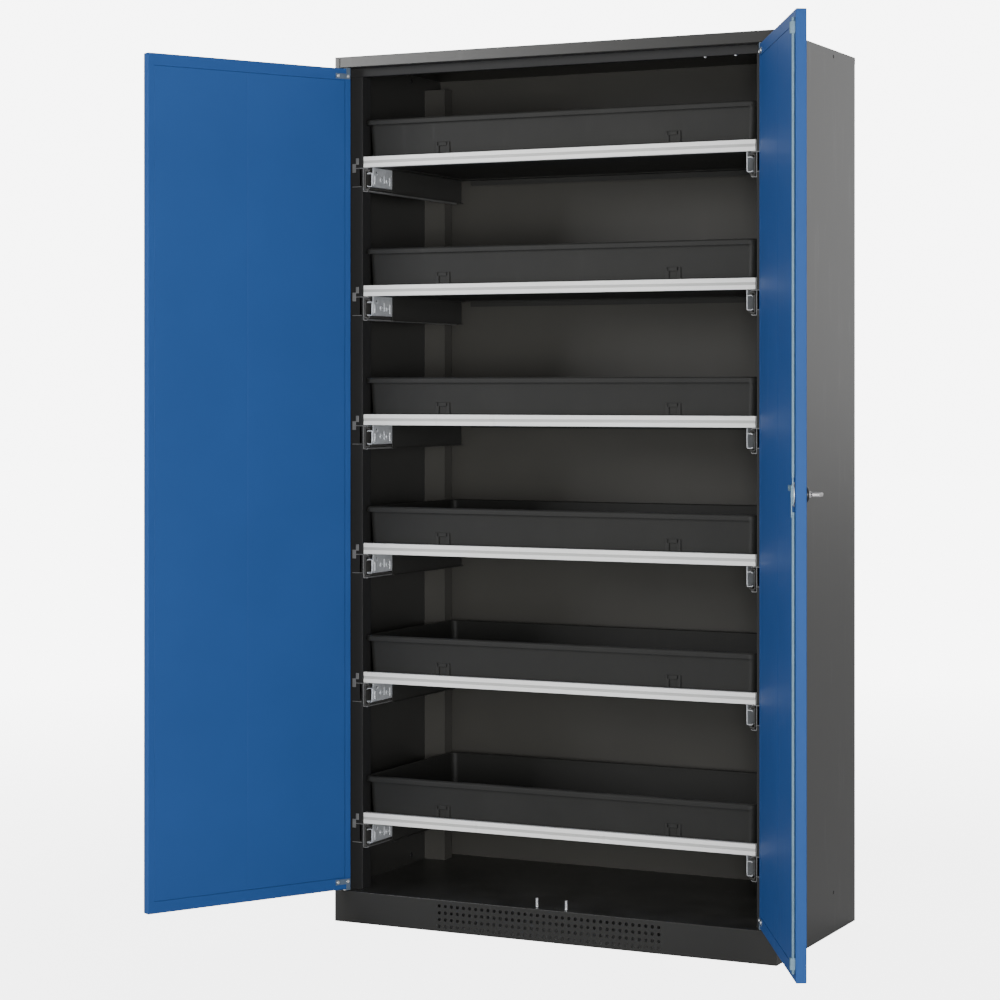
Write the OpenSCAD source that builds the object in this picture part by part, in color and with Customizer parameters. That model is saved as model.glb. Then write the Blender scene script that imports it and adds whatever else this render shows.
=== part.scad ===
// Tall two-door cabinet with six pull-out trays on telescopic slides.
// Frame: +Z up, front towards -Y, +X to the right as seen from the front.
// Origin: centre of the carcass footprint, on the surface that the cabinet stands on.
// The doors are drawn open and the trays pushed in.

/* [Carcass] */
// Width over the side panels
cab_w = 1055; // [960:5:1200]
// Depth over the front fold and the back panel
cab_d = 520; // [500:5:620]
// Height over the top panel
cab_h = 1950; // [1940:5:2100]
// Thickness of the carcass and door sheet
sheet_t = 1; // [0.8:0.1:1.2]
// Height of the plinth up to the floor panel
plinth_h = 70; // [60:1:90]
// Height of the front beam under the top panel
beam_h = 25; // [20:1:35]
// Width of the side panel's front fold
fold_w = 13; // [12:0.5:13.5]
// Depth of the rebate that the doors close into
rebate_d = 29; // [29:0.5:31]
// Distance from the outer side to the clear opening
post_reach = 55; // [50:1:60]
// Depth of the post's return behind the stop face
post_return = 40; // [30:1:60]
// Height of the stop strip under the front beam
strip_h = 19; // [12:1:22]
// Depth of the return folded back under the stop strip
strip_return = 15; // [10:1:20]
// Width of the flanges that hold the back panel
back_flange = 15; // [12:1:20]

/* [Plinth] */
// Columns of vent holes
vent_columns = 36; // [10:1:50]
// Rows of vent holes
vent_rows = 4; // [1:1:4]
// Pitch of the vent holes
vent_pitch = 15; // [10:1:15]
// Diameter of a vent hole
vent_d = 6; // [3:0.5:8]
// Height of the lowest row of vent holes
vent_z = 11; // [8:1:14]
// Width of the bearers under the floor panel
bearer_w = 40; // [30:1:50]
// Wall of the bearers
bearer_t = 2; // [1.5:0.5:3]
// Height of the bearers' underside
bearer_z = 22; // [20:1:28]
// Distance of the bearers behind the plinth's face
bearer_front = 25; // [22:1:40]
// Width of the plinth's foot flange
foot_flange = 20; // [12:1:20]
// Diameter of the levelling feet's studs
stud_d = 10; // [8:1:12]
// Diameter of the levelling feet's pads
pad_d = 36; // [24:1:38]
// Distance of the feet from the front and the back
foot_inset = 60; // [40:1:90]

/* [Holes and pins] */
// Diameter of the joining holes in the side panels
side_hole_d = 8; // [5:0.5:12]
// Distance of the joining holes from the back
side_hole_back = 153; // [100:1:200]
// Height of the lower joining hole above the floor panel
side_hole_z = 19; // [12:1:30]
// Distance of the upper joining hole from the top
side_hole_top = 15; // [10:1:30]
// Diameter of the wall-fixing holes in the back panel
wall_hole_d = 8; // [5:0.5:12]
// Distance of the wall-fixing holes from the outer side
wall_hole_side = 83; // [70:1:90]
// Distance of the upper wall-fixing hole from the top
wall_hole_top = 201; // [150:1:230]
// Distance between the two wall-fixing holes of a side
wall_hole_gap = 35; // [20:1:60]
// Diameter of the door stop pins on the floor panel
stop_pin_d = 6; // [5:0.5:8]
// Height of the door stop pins
stop_pin_h = 19; // [12:1:25]
// Distance of a stop pin from the middle
stop_pin_x = 35; // [25:1:60]

/* [Doors] */
// Thickness of a door
door_t = 21; // [20:0.5:21]
// Gap between the two closed doors
door_gap = 3; // [2:0.5:5]
// Gap between a door's hinge end and the side panel's fold
hinge_gap = 3.5; // [3.5:0.25:5]
// Gap above a door
door_top_gap = 3; // [3:0.5:4]
// Gap below a door
door_foot_gap = 5; // [5:0.5:6]
// Width of the lips along a door's upright edges
lip_side = 15; // [12:1:16]
// Width of the lips along a door's top and bottom edges
lip_end = 26; // [24:1:32]
// Distance of the hinge pivot from the door's hinge end
pivot_end = 6; // [6:0.25:7]
// Distance of the hinge pivot behind the door's face
pivot_face = 5; // [4.5:0.25:5]
// Opening angle of the left door
left_open = 119; // [90:1:120]
// Opening angle of the right door
right_open = 118; // [90:1:120]
// Gap between a door's inner panel and its lips
panel_gap = 1; // [0.5:0.25:2]
// Step from the lips down to the inner panel
panel_step = 1; // [0.5:0.25:2]
// Distance of the inner panel's seam from the door's free edge
seam_x = 243.5; // [200:0.5:300]
// Width of the inner panel's seam
seam_w = 3; // [2:0.5:4]
// Depth of the inner panel's seam
seam_t = 0.5; // [0.3:0.1:0.8]
// Length of the hinge plates
plate_l = 38; // [34:1:60]
// Height of the hinge plates
plate_h = 12; // [10:0.5:13]
// Thickness of the hinge plates
plate_t = 1.5; // [1:0.1:1.8]
// Diameter of the hinge pins
pin_d = 5; // [4:0.5:5]
// Distance between a hinge plate's screws
screw_gap = 26; // [20:1:28]

/* [Lock] */
// Diameter of the lock rods
rod_d = 6; // [5:0.5:6]
// Distance of the rods from the door's free edge
rod_x = 12; // [10:0.5:13]
// Distance of the lock's axis from the door's free edge
lock_x = 27; // [26:0.5:34]
// Height of the lock's axis
lock_z = 1000; // [960:5:1030]
// Radius of the cam's pins
cam_r = 17; // [15:0.5:18]
// Diameter of the cam's pins
cam_pin_d = 4; // [3:0.5:4]
// Thickness of the cam and of the rods' end plates
cam_t = 2; // [1.5:0.25:2]
// Length of the rod guides
guide_l = 23; // [16:1:26]
// Width of the rod guides
guide_w = 10; // [9:0.5:12]
// Distance of the guides from the door's top and bottom edges
guide_end = 24; // [23.5:0.5:40]
// Height of the guides above the door's lip
guide_h = 10; // [9:0.5:11]
// Distance of a withdrawn rod's end from the door's top or bottom edge
rod_end = 16; // [15:0.5:17]
// Diameter of the escutcheon
escutcheon_d = 30; // [24:1:34]
// Thickness of the escutcheon
escutcheon_t = 7; // [4:0.5:8]
// Diameter of the knob's neck
neck_d = 16; // [12:1:18]
// Length of the knob's neck
neck_l = 5; // [3:0.5:8]
// Length of the knob's grip across the door
grip_l = 40; // [34:1:46]
// Depth of the knob's grip
grip_d = 23; // [16:1:28]
// Thickness of the knob's grip
grip_t = 8; // [6:0.5:10]

/* [Trays] */
// Height of the lowest rail's middle above the floor panel
first_rail = 161.7; // [150:1:175]
// Height from the lowest rail to the next one
first_pitch = 318; // [290:1:320]
// Distance from the top rail's middle to the top of the cabinet
top_rail = 236.3; // [220:1:300]
// Height of the front rails
rail_h = 24.5; // [20:0.5:28]
// Depth of the front rails
rail_d = 12; // [10:0.5:16]
// Wall of the front rails
rail_t = 2; // [1.5:0.1:2.5]
// Distance of the rails' face behind the carcass front
rail_back = 28.5; // [28.5:0.25:32]
// Gap between a rail's end and the post
rail_end_gap = 3; // [2:0.5:6]
// Depth of a fine groove in a rail's face
groove_d = 0.6; // [0.3:0.1:1]
// Width of a fine groove in a rail's face
groove_w = 1.2; // [0.8:0.1:2]
// Height from the top of a rail to the rim of its tray
rim_above = 83; // [50:1:90]
// Height of a tray's rim
rim_h = 10; // [8:0.5:14]
// Wall of a tray
tray_wall = 2; // [1.8:0.1:3]
// Reach of the rim beyond the tray's side walls
rim_side = 4.5; // [4:0.5:14]
// Draft of a tray's walls from rim to bottom
tray_draft = 5; // [0:0.5:5]
// Distance of the embossed tabs from the middle
tab_x = 277; // [150:1:350]
// Width of an embossed tab
tab_w = 36; // [20:1:60]
// Height of an embossed tab
tab_h = 26; // [15:1:40]
// Depth of an embossed tab
tab_d = 0.8; // [0.4:0.1:1]

/* [Slides] */
// Length of the slides
slide_l = 444; // [400:2:446]
// Height of the cabinet member
slide_h = 54; // [50:1:60]
// Depth of the members' flanges
flange_w = 13; // [12:0.5:13.5]
// Sheet of the slides
slide_t = 1.5; // [1.2:0.1:1.8]
// Space for the balls between two members
ball_gap = 4; // [3:0.5:4.5]
// Distance of a slide's top below its rail
slide_drop = 1; // [0.5:0.5:3]
// Distance from the cabinet member's web to the middle member's
web_step = 4.5; // [4:0.25:5]
// Width over the three members
slide_w = 23; // [22.5:0.25:24]
// Length of a ball cage
cage_l = 90; // [60:5:120]
// Depth of the carrier's side plates
carrier_h = 44; // [30:1:50]
// Length of bare slide in front of the carrier's side plates
carrier_front = 95; // [60:1:120]
// Width of the shelf that carries the tray's bottom
shelf_w = 26; // [15:1:40]
// Depth of the carrier's front and rear cross members
cross_d = 30; // [20:1:50]

/* [Hidden] */
$fn = 48;
TRAYS = 6;

anthracite = [0.20, 0.21, 0.22];
gentian = [0.05, 0.25, 0.55];
zinc = [0.78, 0.79, 0.78];
rail_white = [0.90, 0.90, 0.88];
tray_grey = [0.14, 0.14, 0.14];
black_plastic = [0.08, 0.08, 0.08];

// Clearances
run_fit = 0.05;
pin_play = 0.1;
touch_gap = 0.3;
eps = 0.5;

// Carcass planes
half_w = cab_w / 2;
half_d = cab_d / 2;
front_y = -half_d;
stop_y = front_y + rebate_d;
beam_z = cab_h - beam_h;
strip_z = beam_z - strip_h;
fold_x = half_w - fold_w;
post_x = half_w - post_reach;
back_y = half_d - sheet_t;
stud_hole_d = stud_d + 2 * run_fit;
bearer_x = post_x;
pad_h = 6;
pad_taper = 6;
nut_h = 8;
nut_d = 19;
stud_above = 23;
post_lip = 15;
rear_post_w = 36;
rear_post_step = 40;
hinge_pin_tail = 4;
stop_pin_tail = 5;

// Door frame, closed position
door_x = fold_x - hinge_gap;
door_edge = door_gap / 2;
door_z = plinth_h + door_foot_gap;
door_top = beam_z - door_top_gap;
door_h = door_top - door_z;
door_back = front_y + door_t;
pivot_x = door_x - pivot_end;
pivot_y = front_y + pivot_face;
leg_t = 2;
collar_h = door_foot_gap - leg_t - pin_play;
collar_d = 9;
pin_head_d = 2 * (pivot_face - sheet_t - touch_gap);
pin_head_h = 3;
plate_end = 2;
plate_edge = 11.5;
neck_w = 12;
head_d = 7;
head_h = 1.6;
shank_d = 4;
pin_reach = 9;
stop_pin_gap = 1;
stop_pin_y = door_back + stop_pin_gap + stop_pin_d / 2;
neck_cut = 1;
leg_nose = 1.5;
head_taper = 2;

// Lock, with the door closed
cam_turn = 90;
rod_cx = door_edge + rod_x;
rod_cy = door_back + rod_d / 2 + touch_gap;
lock_cx = door_edge + lock_x;
eye_play = 0.6;
eye_h = cam_pin_d + 2 * eye_play;
eye_rim = 3;
rod_start = 10;
rod_hole_d = rod_d + 2;
case_w = 20;
case_h = 46;
spindle_d = 8;
spindle_hole_d = spindle_d + 2;
escutcheon_bevel = 3;
grip_r = 24.8;
cam_gap = 1;
cam_rim = 2;
cam_y = door_back + cam_gap;
knob_y = front_y - escutcheon_t - touch_gap;
upper_eye_y = cam_y + cam_t + touch_gap;
lower_eye_y = upper_eye_y + cam_t + touch_gap;
cam_d = 2 * (cam_r + cam_rim) + cam_pin_d;

// Trays and slides
shelf_t = 1.5;
rail_x = post_x - rail_end_gap;
rail_y = front_y + rail_back;
rim_step = 1.5;
rim_y = rail_y + rim_step;
wall_gap = 0.5;
wall_y = rail_y + rail_d + shelf_t + wall_gap;
slide_step = 3;
slide_y = rail_y + slide_step;
middle_h = slide_h - 2 * slide_t - 2 * ball_gap;
inner_h = middle_h - 2 * slide_t - 2 * ball_gap;
inner_x = post_x - slide_w;
hook_t = 1.2;
hook_w = 12;
hook_h = 8;
hook_inset = 2;
middle_inset = 1;
cage_inset = 1;
wall_x = rail_x - rim_side;
groove_shares = [0.3, 0.5, 0.7];
tab_rise = 1;
tray_d = slide_l;
rear_post_y = slide_y + slide_l - rear_post_step;
rail_pitch = (cab_h - top_rail - plinth_h - first_rail - first_pitch) / (TRAYS - 2);

function rail_z(i) = plinth_h + first_rail + (i == 0 ? 0 : first_pitch + (i - 1) * rail_pitch);
function rail_foot(i) = rail_z(i) - rail_h / 2;

// ---------------------------------------------------------------- helpers

// A sheet section in X and Y, drawn upright between two heights.
module upright(z0, z1) translate([0, 0, z0]) linear_extrude(z1 - z0) children();

// A section drawn in Y and Z, run along X between two places.
module along_x(x0, x1) translate([x0, 0, 0]) rotate([90, 0, 90]) linear_extrude(x1 - x0) children();

// A section drawn in X and Z, run along Y between two places.
module along_y(y0, y1) translate([0, y1, 0]) rotate([90, 0, 0]) linear_extrude(y1 - y0) children();

// A rectangle from its two corners.
module rect(x0, y0, x1, y1) translate([x0, y0]) square([x1 - x0, y1 - y0]);

// A box from its two corners.
module box(x0, y0, z0, x1, y1, z1) translate([x0, y0, z0]) cube([x1 - x0, y1 - y0, z1 - z0]);

// The same part on the right and, mirrored, on the left.
module both_sides() {
    children();
    mirror([1, 0, 0]) children();
}

// A door part in its closed place, swung open by an angle. Drawn for the right door.
module swung(angle) translate([pivot_x, pivot_y, 0]) rotate([0, 0, angle])
    translate([-pivot_x, -pivot_y, 0]) children();

module on_left_door() mirror([1, 0, 0]) swung(left_open) children();
module on_right_door() swung(right_open) children();

// ---------------------------------------------------------------- carcass

module side_panel() {
    difference() {
        union() {
            box(half_w - sheet_t, front_y + sheet_t, 0, half_w, half_d, cab_h - sheet_t);
            box(half_w - back_flange, back_y, 0, half_w, half_d, cab_h - sheet_t);
            upright(plinth_h, beam_z) {
                rect(fold_x, front_y, half_w, front_y + sheet_t);
                rect(fold_x, front_y, fold_x + sheet_t, stop_y);
            }
        }
        for (z = [plinth_h + side_hole_z, cab_h - side_hole_top])
            translate([half_w + eps, half_d - side_hole_back, z])
                rotate([0, -90, 0]) cylinder(d = side_hole_d, h = sheet_t + 2 * eps);
    }
}

module side_panel_left() color(anthracite) mirror([1, 0, 0]) side_panel();

module side_panel_right() color(anthracite) side_panel();

module back_panel() color(anthracite) difference() {
    inside = half_w - sheet_t;
    box(-inside, back_y - sheet_t, 0, inside, back_y, cab_h - sheet_t);
    for (x = [-1, 1], drop = [0, wall_hole_gap])
        translate([x * (half_w - wall_hole_side), back_y + eps, cab_h - wall_hole_top - drop])
            rotate([90, 0, 0]) cylinder(d = wall_hole_d, h = sheet_t + 2 * eps);
}

module top_panel() color(anthracite) difference() {
    inside = half_w - sheet_t;
    union() {
        box(-half_w, front_y, cab_h - sheet_t, half_w, half_d, cab_h);
        box(-half_w, front_y, beam_z, half_w, front_y + sheet_t, cab_h);
        box(-inside, front_y, beam_z, inside, stop_y + sheet_t, beam_z + sheet_t);
        along_x(-fold_x, fold_x) {
            rect(stop_y, strip_z, stop_y + sheet_t, beam_z + sheet_t);
            rect(stop_y, strip_z, stop_y + strip_return, strip_z + sheet_t);
        }
        box(back_flange - half_w, back_y, cab_h - back_flange, half_w - back_flange, half_d, cab_h);
    }
    both_sides() translate([pivot_x, pivot_y, beam_z - eps])
        cylinder(d = pin_d + 2 * run_fit, h = sheet_t + 2 * eps);
    translate([rod_cx, rod_cy, beam_z - eps]) cylinder(d = rod_hole_d, h = sheet_t + 2 * eps);
}

module floor_panel() color(anthracite) difference() {
    inside = half_w - sheet_t;
    box(-inside, front_y + sheet_t, plinth_h - sheet_t, inside, back_y - sheet_t, plinth_h);
    both_sides() translate([pivot_x, pivot_y, plinth_h - sheet_t - eps])
        cylinder(d = pin_d + 2 * run_fit, h = sheet_t + 2 * eps);
    translate([rod_cx, rod_cy, plinth_h - sheet_t - eps]) cylinder(d = rod_hole_d, h = sheet_t + 2 * eps);
    both_sides() translate([stop_pin_x, stop_pin_y, plinth_h - sheet_t - eps])
        cylinder(d = shank_d + 2 * run_fit, h = sheet_t + 2 * eps);
}

module plinth_panel() color(anthracite) {
    difference() {
        box(-half_w, front_y, 0, half_w, front_y + sheet_t, plinth_h);
        for (column = [0 : vent_columns - 1], row = [0 : vent_rows - 1])
            translate([(column - (vent_columns - 1) / 2) * vent_pitch, front_y + sheet_t + eps,
                    vent_z + row * vent_pitch])
                rotate([90, 0, 0]) cylinder(d = vent_d, h = sheet_t + 2 * eps, $fn = 24);
    }
    linear_extrude(sheet_t) difference() {
        rect(sheet_t - half_w, front_y, half_w - sheet_t, back_y - sheet_t);
        rect(sheet_t - half_w + foot_flange, front_y + foot_flange,
            half_w - sheet_t - foot_flange, half_d);
    }
}

module floor_bearers() color(anthracite) both_sides() difference() {
    along_y(front_y + bearer_front, back_y - sheet_t) difference() {
        rect(bearer_x - bearer_w / 2, bearer_z, bearer_x + bearer_w / 2, plinth_h - sheet_t);
        rect(bearer_x - bearer_w / 2 + bearer_t, bearer_z + bearer_t,
            bearer_x + bearer_w / 2 - bearer_t, plinth_h - sheet_t - bearer_t);
    }
    for (y = [front_y + foot_inset, half_d - foot_inset])
        translate([bearer_x, y, bearer_z - eps]) cylinder(d = stud_hole_d, h = bearer_t + 2 * eps);
}

module levelling_feet() color(zinc) both_sides()
    for (y = [front_y + foot_inset, half_d - foot_inset]) translate([bearer_x, y, 0]) {
        cylinder(d = pad_d, h = pad_h);
        translate([0, 0, pad_h]) cylinder(d1 = pad_d - pad_taper, d2 = stud_d + pad_taper, h = pad_h / 2);
        cylinder(d = stud_d, h = bearer_z + stud_above);
        translate([0, 0, bearer_z - nut_h]) cylinder(d = nut_d, h = nut_h, $fn = 6);
    }

module front_post() {
    upright(plinth_h, strip_z) {
        rect(post_x, stop_y, fold_x + sheet_t, stop_y + sheet_t);
        rect(post_x, stop_y, post_x + sheet_t, stop_y + post_return);
        rect(post_x, stop_y + post_return - sheet_t, post_x + post_lip, stop_y + post_return);
    }
}

module front_posts() color(anthracite) both_sides() front_post();

module rear_posts() color(anthracite) both_sides() upright(plinth_h, cab_h - 2 * back_flange) {
    rect(post_x, rear_post_y, half_w - sheet_t, rear_post_y + sheet_t);
    rect(post_x, rear_post_y, post_x + sheet_t, rear_post_y + rear_post_w);
    rect(post_x, rear_post_y + rear_post_w - sheet_t, post_x + post_lip, rear_post_y + rear_post_w);
}

// Hinge pins in the beam and the floor panel, and the doors' stop pins.
module frame_pins() color(zinc) {
    both_sides() translate([pivot_x, pivot_y, 0]) {
        translate([0, 0, door_top - pin_reach])
            cylinder(d = pin_d, h = beam_z + sheet_t - door_top + pin_reach);
        translate([0, 0, beam_z + sheet_t]) cylinder(d = pin_head_d, h = pin_head_h);
        translate([0, 0, plinth_h - hinge_pin_tail])
            cylinder(d = pin_d, h = door_z + pin_reach - plinth_h + hinge_pin_tail);
        translate([0, 0, plinth_h]) cylinder(d = collar_d, h = collar_h);
    }
    both_sides() translate([stop_pin_x, stop_pin_y, 0]) {
        translate([0, 0, plinth_h]) cylinder(d = stop_pin_d, h = stop_pin_h);
        translate([0, 0, plinth_h - stop_pin_tail]) cylinder(d = shank_d, h = stop_pin_tail);
    }
}

// ---------------------------------------------------------------- doors

// A door pan, drawn closed on the right: face sheet, four returns and four lips.
module door_pan() difference() {
    box(door_edge, front_y, door_z, door_x, door_back, door_top);
    box(door_edge + sheet_t, front_y + sheet_t, door_z + sheet_t,
        door_x - sheet_t, door_back - sheet_t, door_top - sheet_t);
    box(door_edge + lip_side, front_y + sheet_t, door_z + lip_end,
        door_x - lip_side, door_back + eps, door_top - lip_end);
    translate([pivot_x, pivot_y, door_z - eps]) cylinder(d = pin_d + 2 * pin_play, h = door_h + 2 * eps);
    for (z = screw_heights(), x = screw_places())
        translate([x, door_back - sheet_t - eps, z]) rotate([-90, 0, 0])
            cylinder(d = shank_d + 2 * run_fit, h = sheet_t + 2 * eps);
}

function screw_heights() = [door_z + plate_edge + plate_h / 2, door_top - plate_edge - plate_h / 2];
function screw_places() = [door_x - plate_end - plate_l / 2 - screw_gap / 2,
    door_x - plate_end - plate_l / 2 + screw_gap / 2];

// The inner panel: a shallow box on the face sheet, let in between the lips, with a seam down it.
module inner_panel() {
    x0 = door_edge + lip_side + panel_gap;
    x1 = door_x - lip_side - panel_gap;
    z0 = door_z + lip_end + panel_gap;
    z1 = door_top - lip_end - panel_gap;
    y0 = front_y + sheet_t;
    y1 = door_back - panel_step;
    seam = door_edge + seam_x;
    difference() {
        box(x0, y0, z0, x1, y1, z1);
        box(x0 + sheet_t, y0 - eps, z0 + sheet_t, x1 - sheet_t, y1 - sheet_t, z1 - sheet_t);
        box(seam - seam_w / 2, y1 - seam_t, z0 - eps, seam + seam_w / 2, y1 + eps, z1 + eps);
    }
}

// One hinge plate for the door's top edge: plate, neck and the leg that holds the pin.
module hinge_plate() {
    y = door_back;
    plate_top = door_top - plate_edge;
    difference() {
        union() {
            box(door_x - plate_end - plate_l, y, plate_top - plate_h,
                door_x - plate_end, y + plate_t, plate_top);
            box(pivot_x - neck_w / 2, y, plate_top - plate_h,
                pivot_x + neck_w / 2 - neck_cut, y + plate_t, door_top + leg_t);
            box(pivot_x - neck_w / 2, pivot_y - pin_d / 2 - leg_nose, door_top,
                pivot_x + neck_w / 2 - neck_cut, y + plate_t, door_top + leg_t);
        }
        translate([pivot_x, pivot_y, door_top - eps])
            cylinder(d = pin_d + 2 * pin_play, h = leg_t + 2 * eps);
        for (x = screw_places()) translate([x, y - eps, plate_top - plate_h / 2]) rotate([-90, 0, 0])
            cylinder(d = shank_d + 2 * run_fit, h = plate_t + 2 * eps);
    }
    for (x = screw_places()) translate([x, y, plate_top - plate_h / 2]) rotate([-90, 0, 0]) {
        translate([0, 0, plate_t + run_fit]) cylinder(d1 = head_d, d2 = head_d - head_taper, h = head_h);
        translate([0, 0, -shank_d]) cylinder(d = shank_d, h = shank_d + plate_t + run_fit);
    }
}

// The plate of the top edge and its mirror image at the bottom edge.
module hinge_plates() {
    hinge_plate();
    translate([0, 0, door_z + door_top]) mirror([0, 0, 1]) hinge_plate();
}

module door_left() color(gentian) on_left_door() door_pan();

module inner_panel_left() color(gentian) on_left_door() inner_panel();

module hinge_plates_left() color(zinc) on_left_door() hinge_plates();

module door_right() color(gentian) on_right_door() difference() {
    door_pan();
    translate([lock_cx, front_y + sheet_t + eps, lock_z]) rotate([90, 0, 0])
        cylinder(d = spindle_hole_d, h = sheet_t + 2 * eps);
}

// The right door's inner panel has a notch for the lock case.
module inner_panel_right() color(gentian) on_right_door() difference() {
    inner_panel();
    box(door_edge + lip_side, front_y, lock_z - case_h / 2 - panel_gap,
        lock_cx + case_w / 2 + panel_gap, door_back, lock_z + case_h / 2 + panel_gap);
}

module hinge_plates_right() color(zinc) on_right_door() hinge_plates();

// ---------------------------------------------------------------- lock, on the right door

module guide(z) difference() {
    box(rod_cx - guide_w / 2, door_back, z, rod_cx + guide_w / 2, door_back + guide_h, z + guide_l);
    translate([rod_cx, rod_cy, z - eps]) cylinder(d = rod_d + 2 * pin_play, h = guide_l + 2 * eps);
}

module rod_guides() color(zinc) on_right_door() {
    guide(door_z + guide_end);
    guide(door_top - guide_end - guide_l);
}

// Housing between the face sheet and the cam, with the spindle's bore.
module lock_case() color(zinc) on_right_door() difference() {
    box(lock_cx - case_w / 2, front_y + sheet_t, lock_z - case_h / 2,
        lock_cx + case_w / 2, door_back - touch_gap, lock_z + case_h / 2);
    translate([lock_cx, door_back + eps, lock_z]) rotate([90, 0, 0])
        cylinder(d = spindle_d + 2 * run_fit, h = door_t + 2 * eps);
}

module escutcheon() color(black_plastic) on_right_door()
    translate([lock_cx, front_y, lock_z]) rotate([90, 0, 0]) difference() {
        union() {
            cylinder(d = escutcheon_d, h = escutcheon_t / 2);
            translate([0, 0, escutcheon_t / 2])
                cylinder(d1 = escutcheon_d, d2 = escutcheon_d - 2 * escutcheon_bevel,
                    h = escutcheon_t / 2);
        }
        translate([0, 0, -eps]) cylinder(d = spindle_d + 2 * run_fit, h = escutcheon_t + 2 * eps);
    }

// Knob with a neck and an oval grip, and the spindle that carries the cam.
module turn_handle() color(zinc) on_right_door()
    translate([lock_cx, knob_y, lock_z]) rotate([90, 0, 0]) {
        cylinder(d = neck_d, h = neck_l);
        translate([0, 0, neck_l]) intersection() {
            linear_extrude(grip_d) union() {
                square([grip_l - grip_t, grip_t], center = true);
                for (x = [-1, 1]) translate([x * (grip_l - grip_t) / 2, 0]) circle(d = grip_t);
            }
            translate([0, 0, grip_d - grip_r]) rotate([90, 0, 0])
                cylinder(r = grip_r, h = grip_t * 2, center = true);
        }
        translate([0, 0, knob_y - cam_y]) cylinder(d = spindle_d, h = cam_y - knob_y);
    }

// The cam's pins from its axis, [towards the hinge, up], with the rods withdrawn.
UPPER_PIN = [-cam_r * cos(cam_turn / 2), -cam_r * sin(cam_turn / 2)];
LOWER_PIN = [cam_r * cos(cam_turn / 2), cam_r * sin(cam_turn / 2)];

// Disc on the spindle with a short pin for the upper rod's eye and a long one for the lower's.
module lock_cam() color(zinc) on_right_door() translate([lock_cx, cam_y, lock_z]) {
    rotate([-90, 0, 0]) cylinder(d = cam_d, h = cam_t);
    translate([UPPER_PIN[0], 0, UPPER_PIN[1]]) rotate([-90, 0, 0])
        cylinder(d = cam_pin_d, h = upper_eye_y + cam_t - cam_y);
    translate([LOWER_PIN[0], 0, LOWER_PIN[1]]) rotate([-90, 0, 0])
        cylinder(d = cam_pin_d, h = lower_eye_y + cam_t - cam_y);
}

// Flat end plate from x0 to x1 at a height, with a level slot for the cam's pin and a strap
// along the rod. The slot is as long as the pin's arc is wide.
module rod_eye(y, z, slot_0, slot_1, strap_0, strap_1) {
    reach = cam_pin_d / 2 + eye_play;
    x0 = min(lock_cx + slot_0 - reach - eye_rim, rod_cx - rod_d / 2);
    x1 = lock_cx + slot_1 + reach + eye_rim;
    difference() {
        union() {
            box(x0, y, z - eye_h / 2 - eye_rim, x1, y + cam_t, z + eye_h / 2 + eye_rim);
            box(rod_cx - rod_d / 2, y, strap_0, rod_cx + rod_d / 2, y + cam_t, strap_1);
        }
        box(lock_cx + slot_0 - reach, y - eps, z - eye_h / 2,
            lock_cx + slot_1 + reach, y + cam_t + eps, z + eye_h / 2);
    }
}

module lock_rod_upper() color(zinc) on_right_door() {
    foot = lock_z + case_h / 2 + rod_start;
    translate([rod_cx, rod_cy, foot]) cylinder(d = rod_d, h = door_top - rod_end - foot);
    eye_z = lock_z + UPPER_PIN[1];
    rod_eye(upper_eye_y, eye_z, -cam_r, UPPER_PIN[0], eye_z, foot + rod_start);
}

module lock_rod_lower() color(zinc) on_right_door() {
    head = lock_z - case_h / 2 - rod_start;
    translate([rod_cx, rod_cy, door_z + rod_end]) cylinder(d = rod_d, h = head - door_z - rod_end);
    eye_z = lock_z + LOWER_PIN[1];
    rod_eye(lower_eye_y, eye_z, LOWER_PIN[0], cam_r, head - rod_start, eye_z);
}

// ---------------------------------------------------------------- trays and slides

// A channel section in X and Z with its web at x0 and flanges reaching to x1.
module channel(x0, x1, z0, z1) {
    outward = x1 > x0 ? 1 : -1;
    rect(min(x0, x1), z0, max(x0, x1), z0 + slide_t);
    rect(min(x0, x1), z1 - slide_t, max(x0, x1), z1);
    rect(min(x0, x0 + outward * slide_t), z0, max(x0, x0 + outward * slide_t), z1);
}

// Cabinet member with its two hook tabs on the post's stop face.
module cabinet_slides(i) color(zinc) both_sides() {
    top = rail_foot(i) - slide_drop;
    along_y(slide_y, slide_y + slide_l) channel(post_x, post_x - flange_w, top - slide_h, top);
    for (z = [top - hook_h - hook_inset, top - slide_h + hook_inset]) {
        box(post_x - slide_t, stop_y - hook_t, z, post_x + hook_w, stop_y, z + hook_h);
        box(post_x - slide_t, stop_y - hook_t, z, post_x, slide_y + hook_h, z + hook_h);
    }
}

// Middle member with the ball cages that bridge to its neighbours.
module middle_slides(i) color(zinc) both_sides() {
    middle = rail_foot(i) - slide_drop - slide_h / 2;
    x = post_x - web_step;
    cage = ball_gap - touch_gap;
    along_y(slide_y + middle_inset, slide_y + slide_l - middle_inset)
        channel(x, x - flange_w, middle - middle_h / 2, middle + middle_h / 2);
    for (y = [slide_y + middle_inset, slide_y + slide_l - middle_inset - cage_l], up = [0, 1])
        translate([0, 0, middle]) mirror([0, 0, up]) {
            box(post_x - flange_w + cage_inset, y, middle_h / 2, x - cage_inset, y + cage_l,
                middle_h / 2 + cage);
            box(x - flange_w + cage_inset, y, middle_h / 2 - slide_t - cage,
                inner_x + flange_w - cage_inset, y + cage_l, middle_h / 2 - slide_t);
        }
}

module tray_slides(i) color(zinc) both_sides() {
    middle = rail_foot(i) - slide_drop - slide_h / 2;
    along_y(slide_y, slide_y + slide_l)
        channel(inner_x, inner_x + flange_w, middle - inner_h / 2, middle + inner_h / 2);
}

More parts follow.
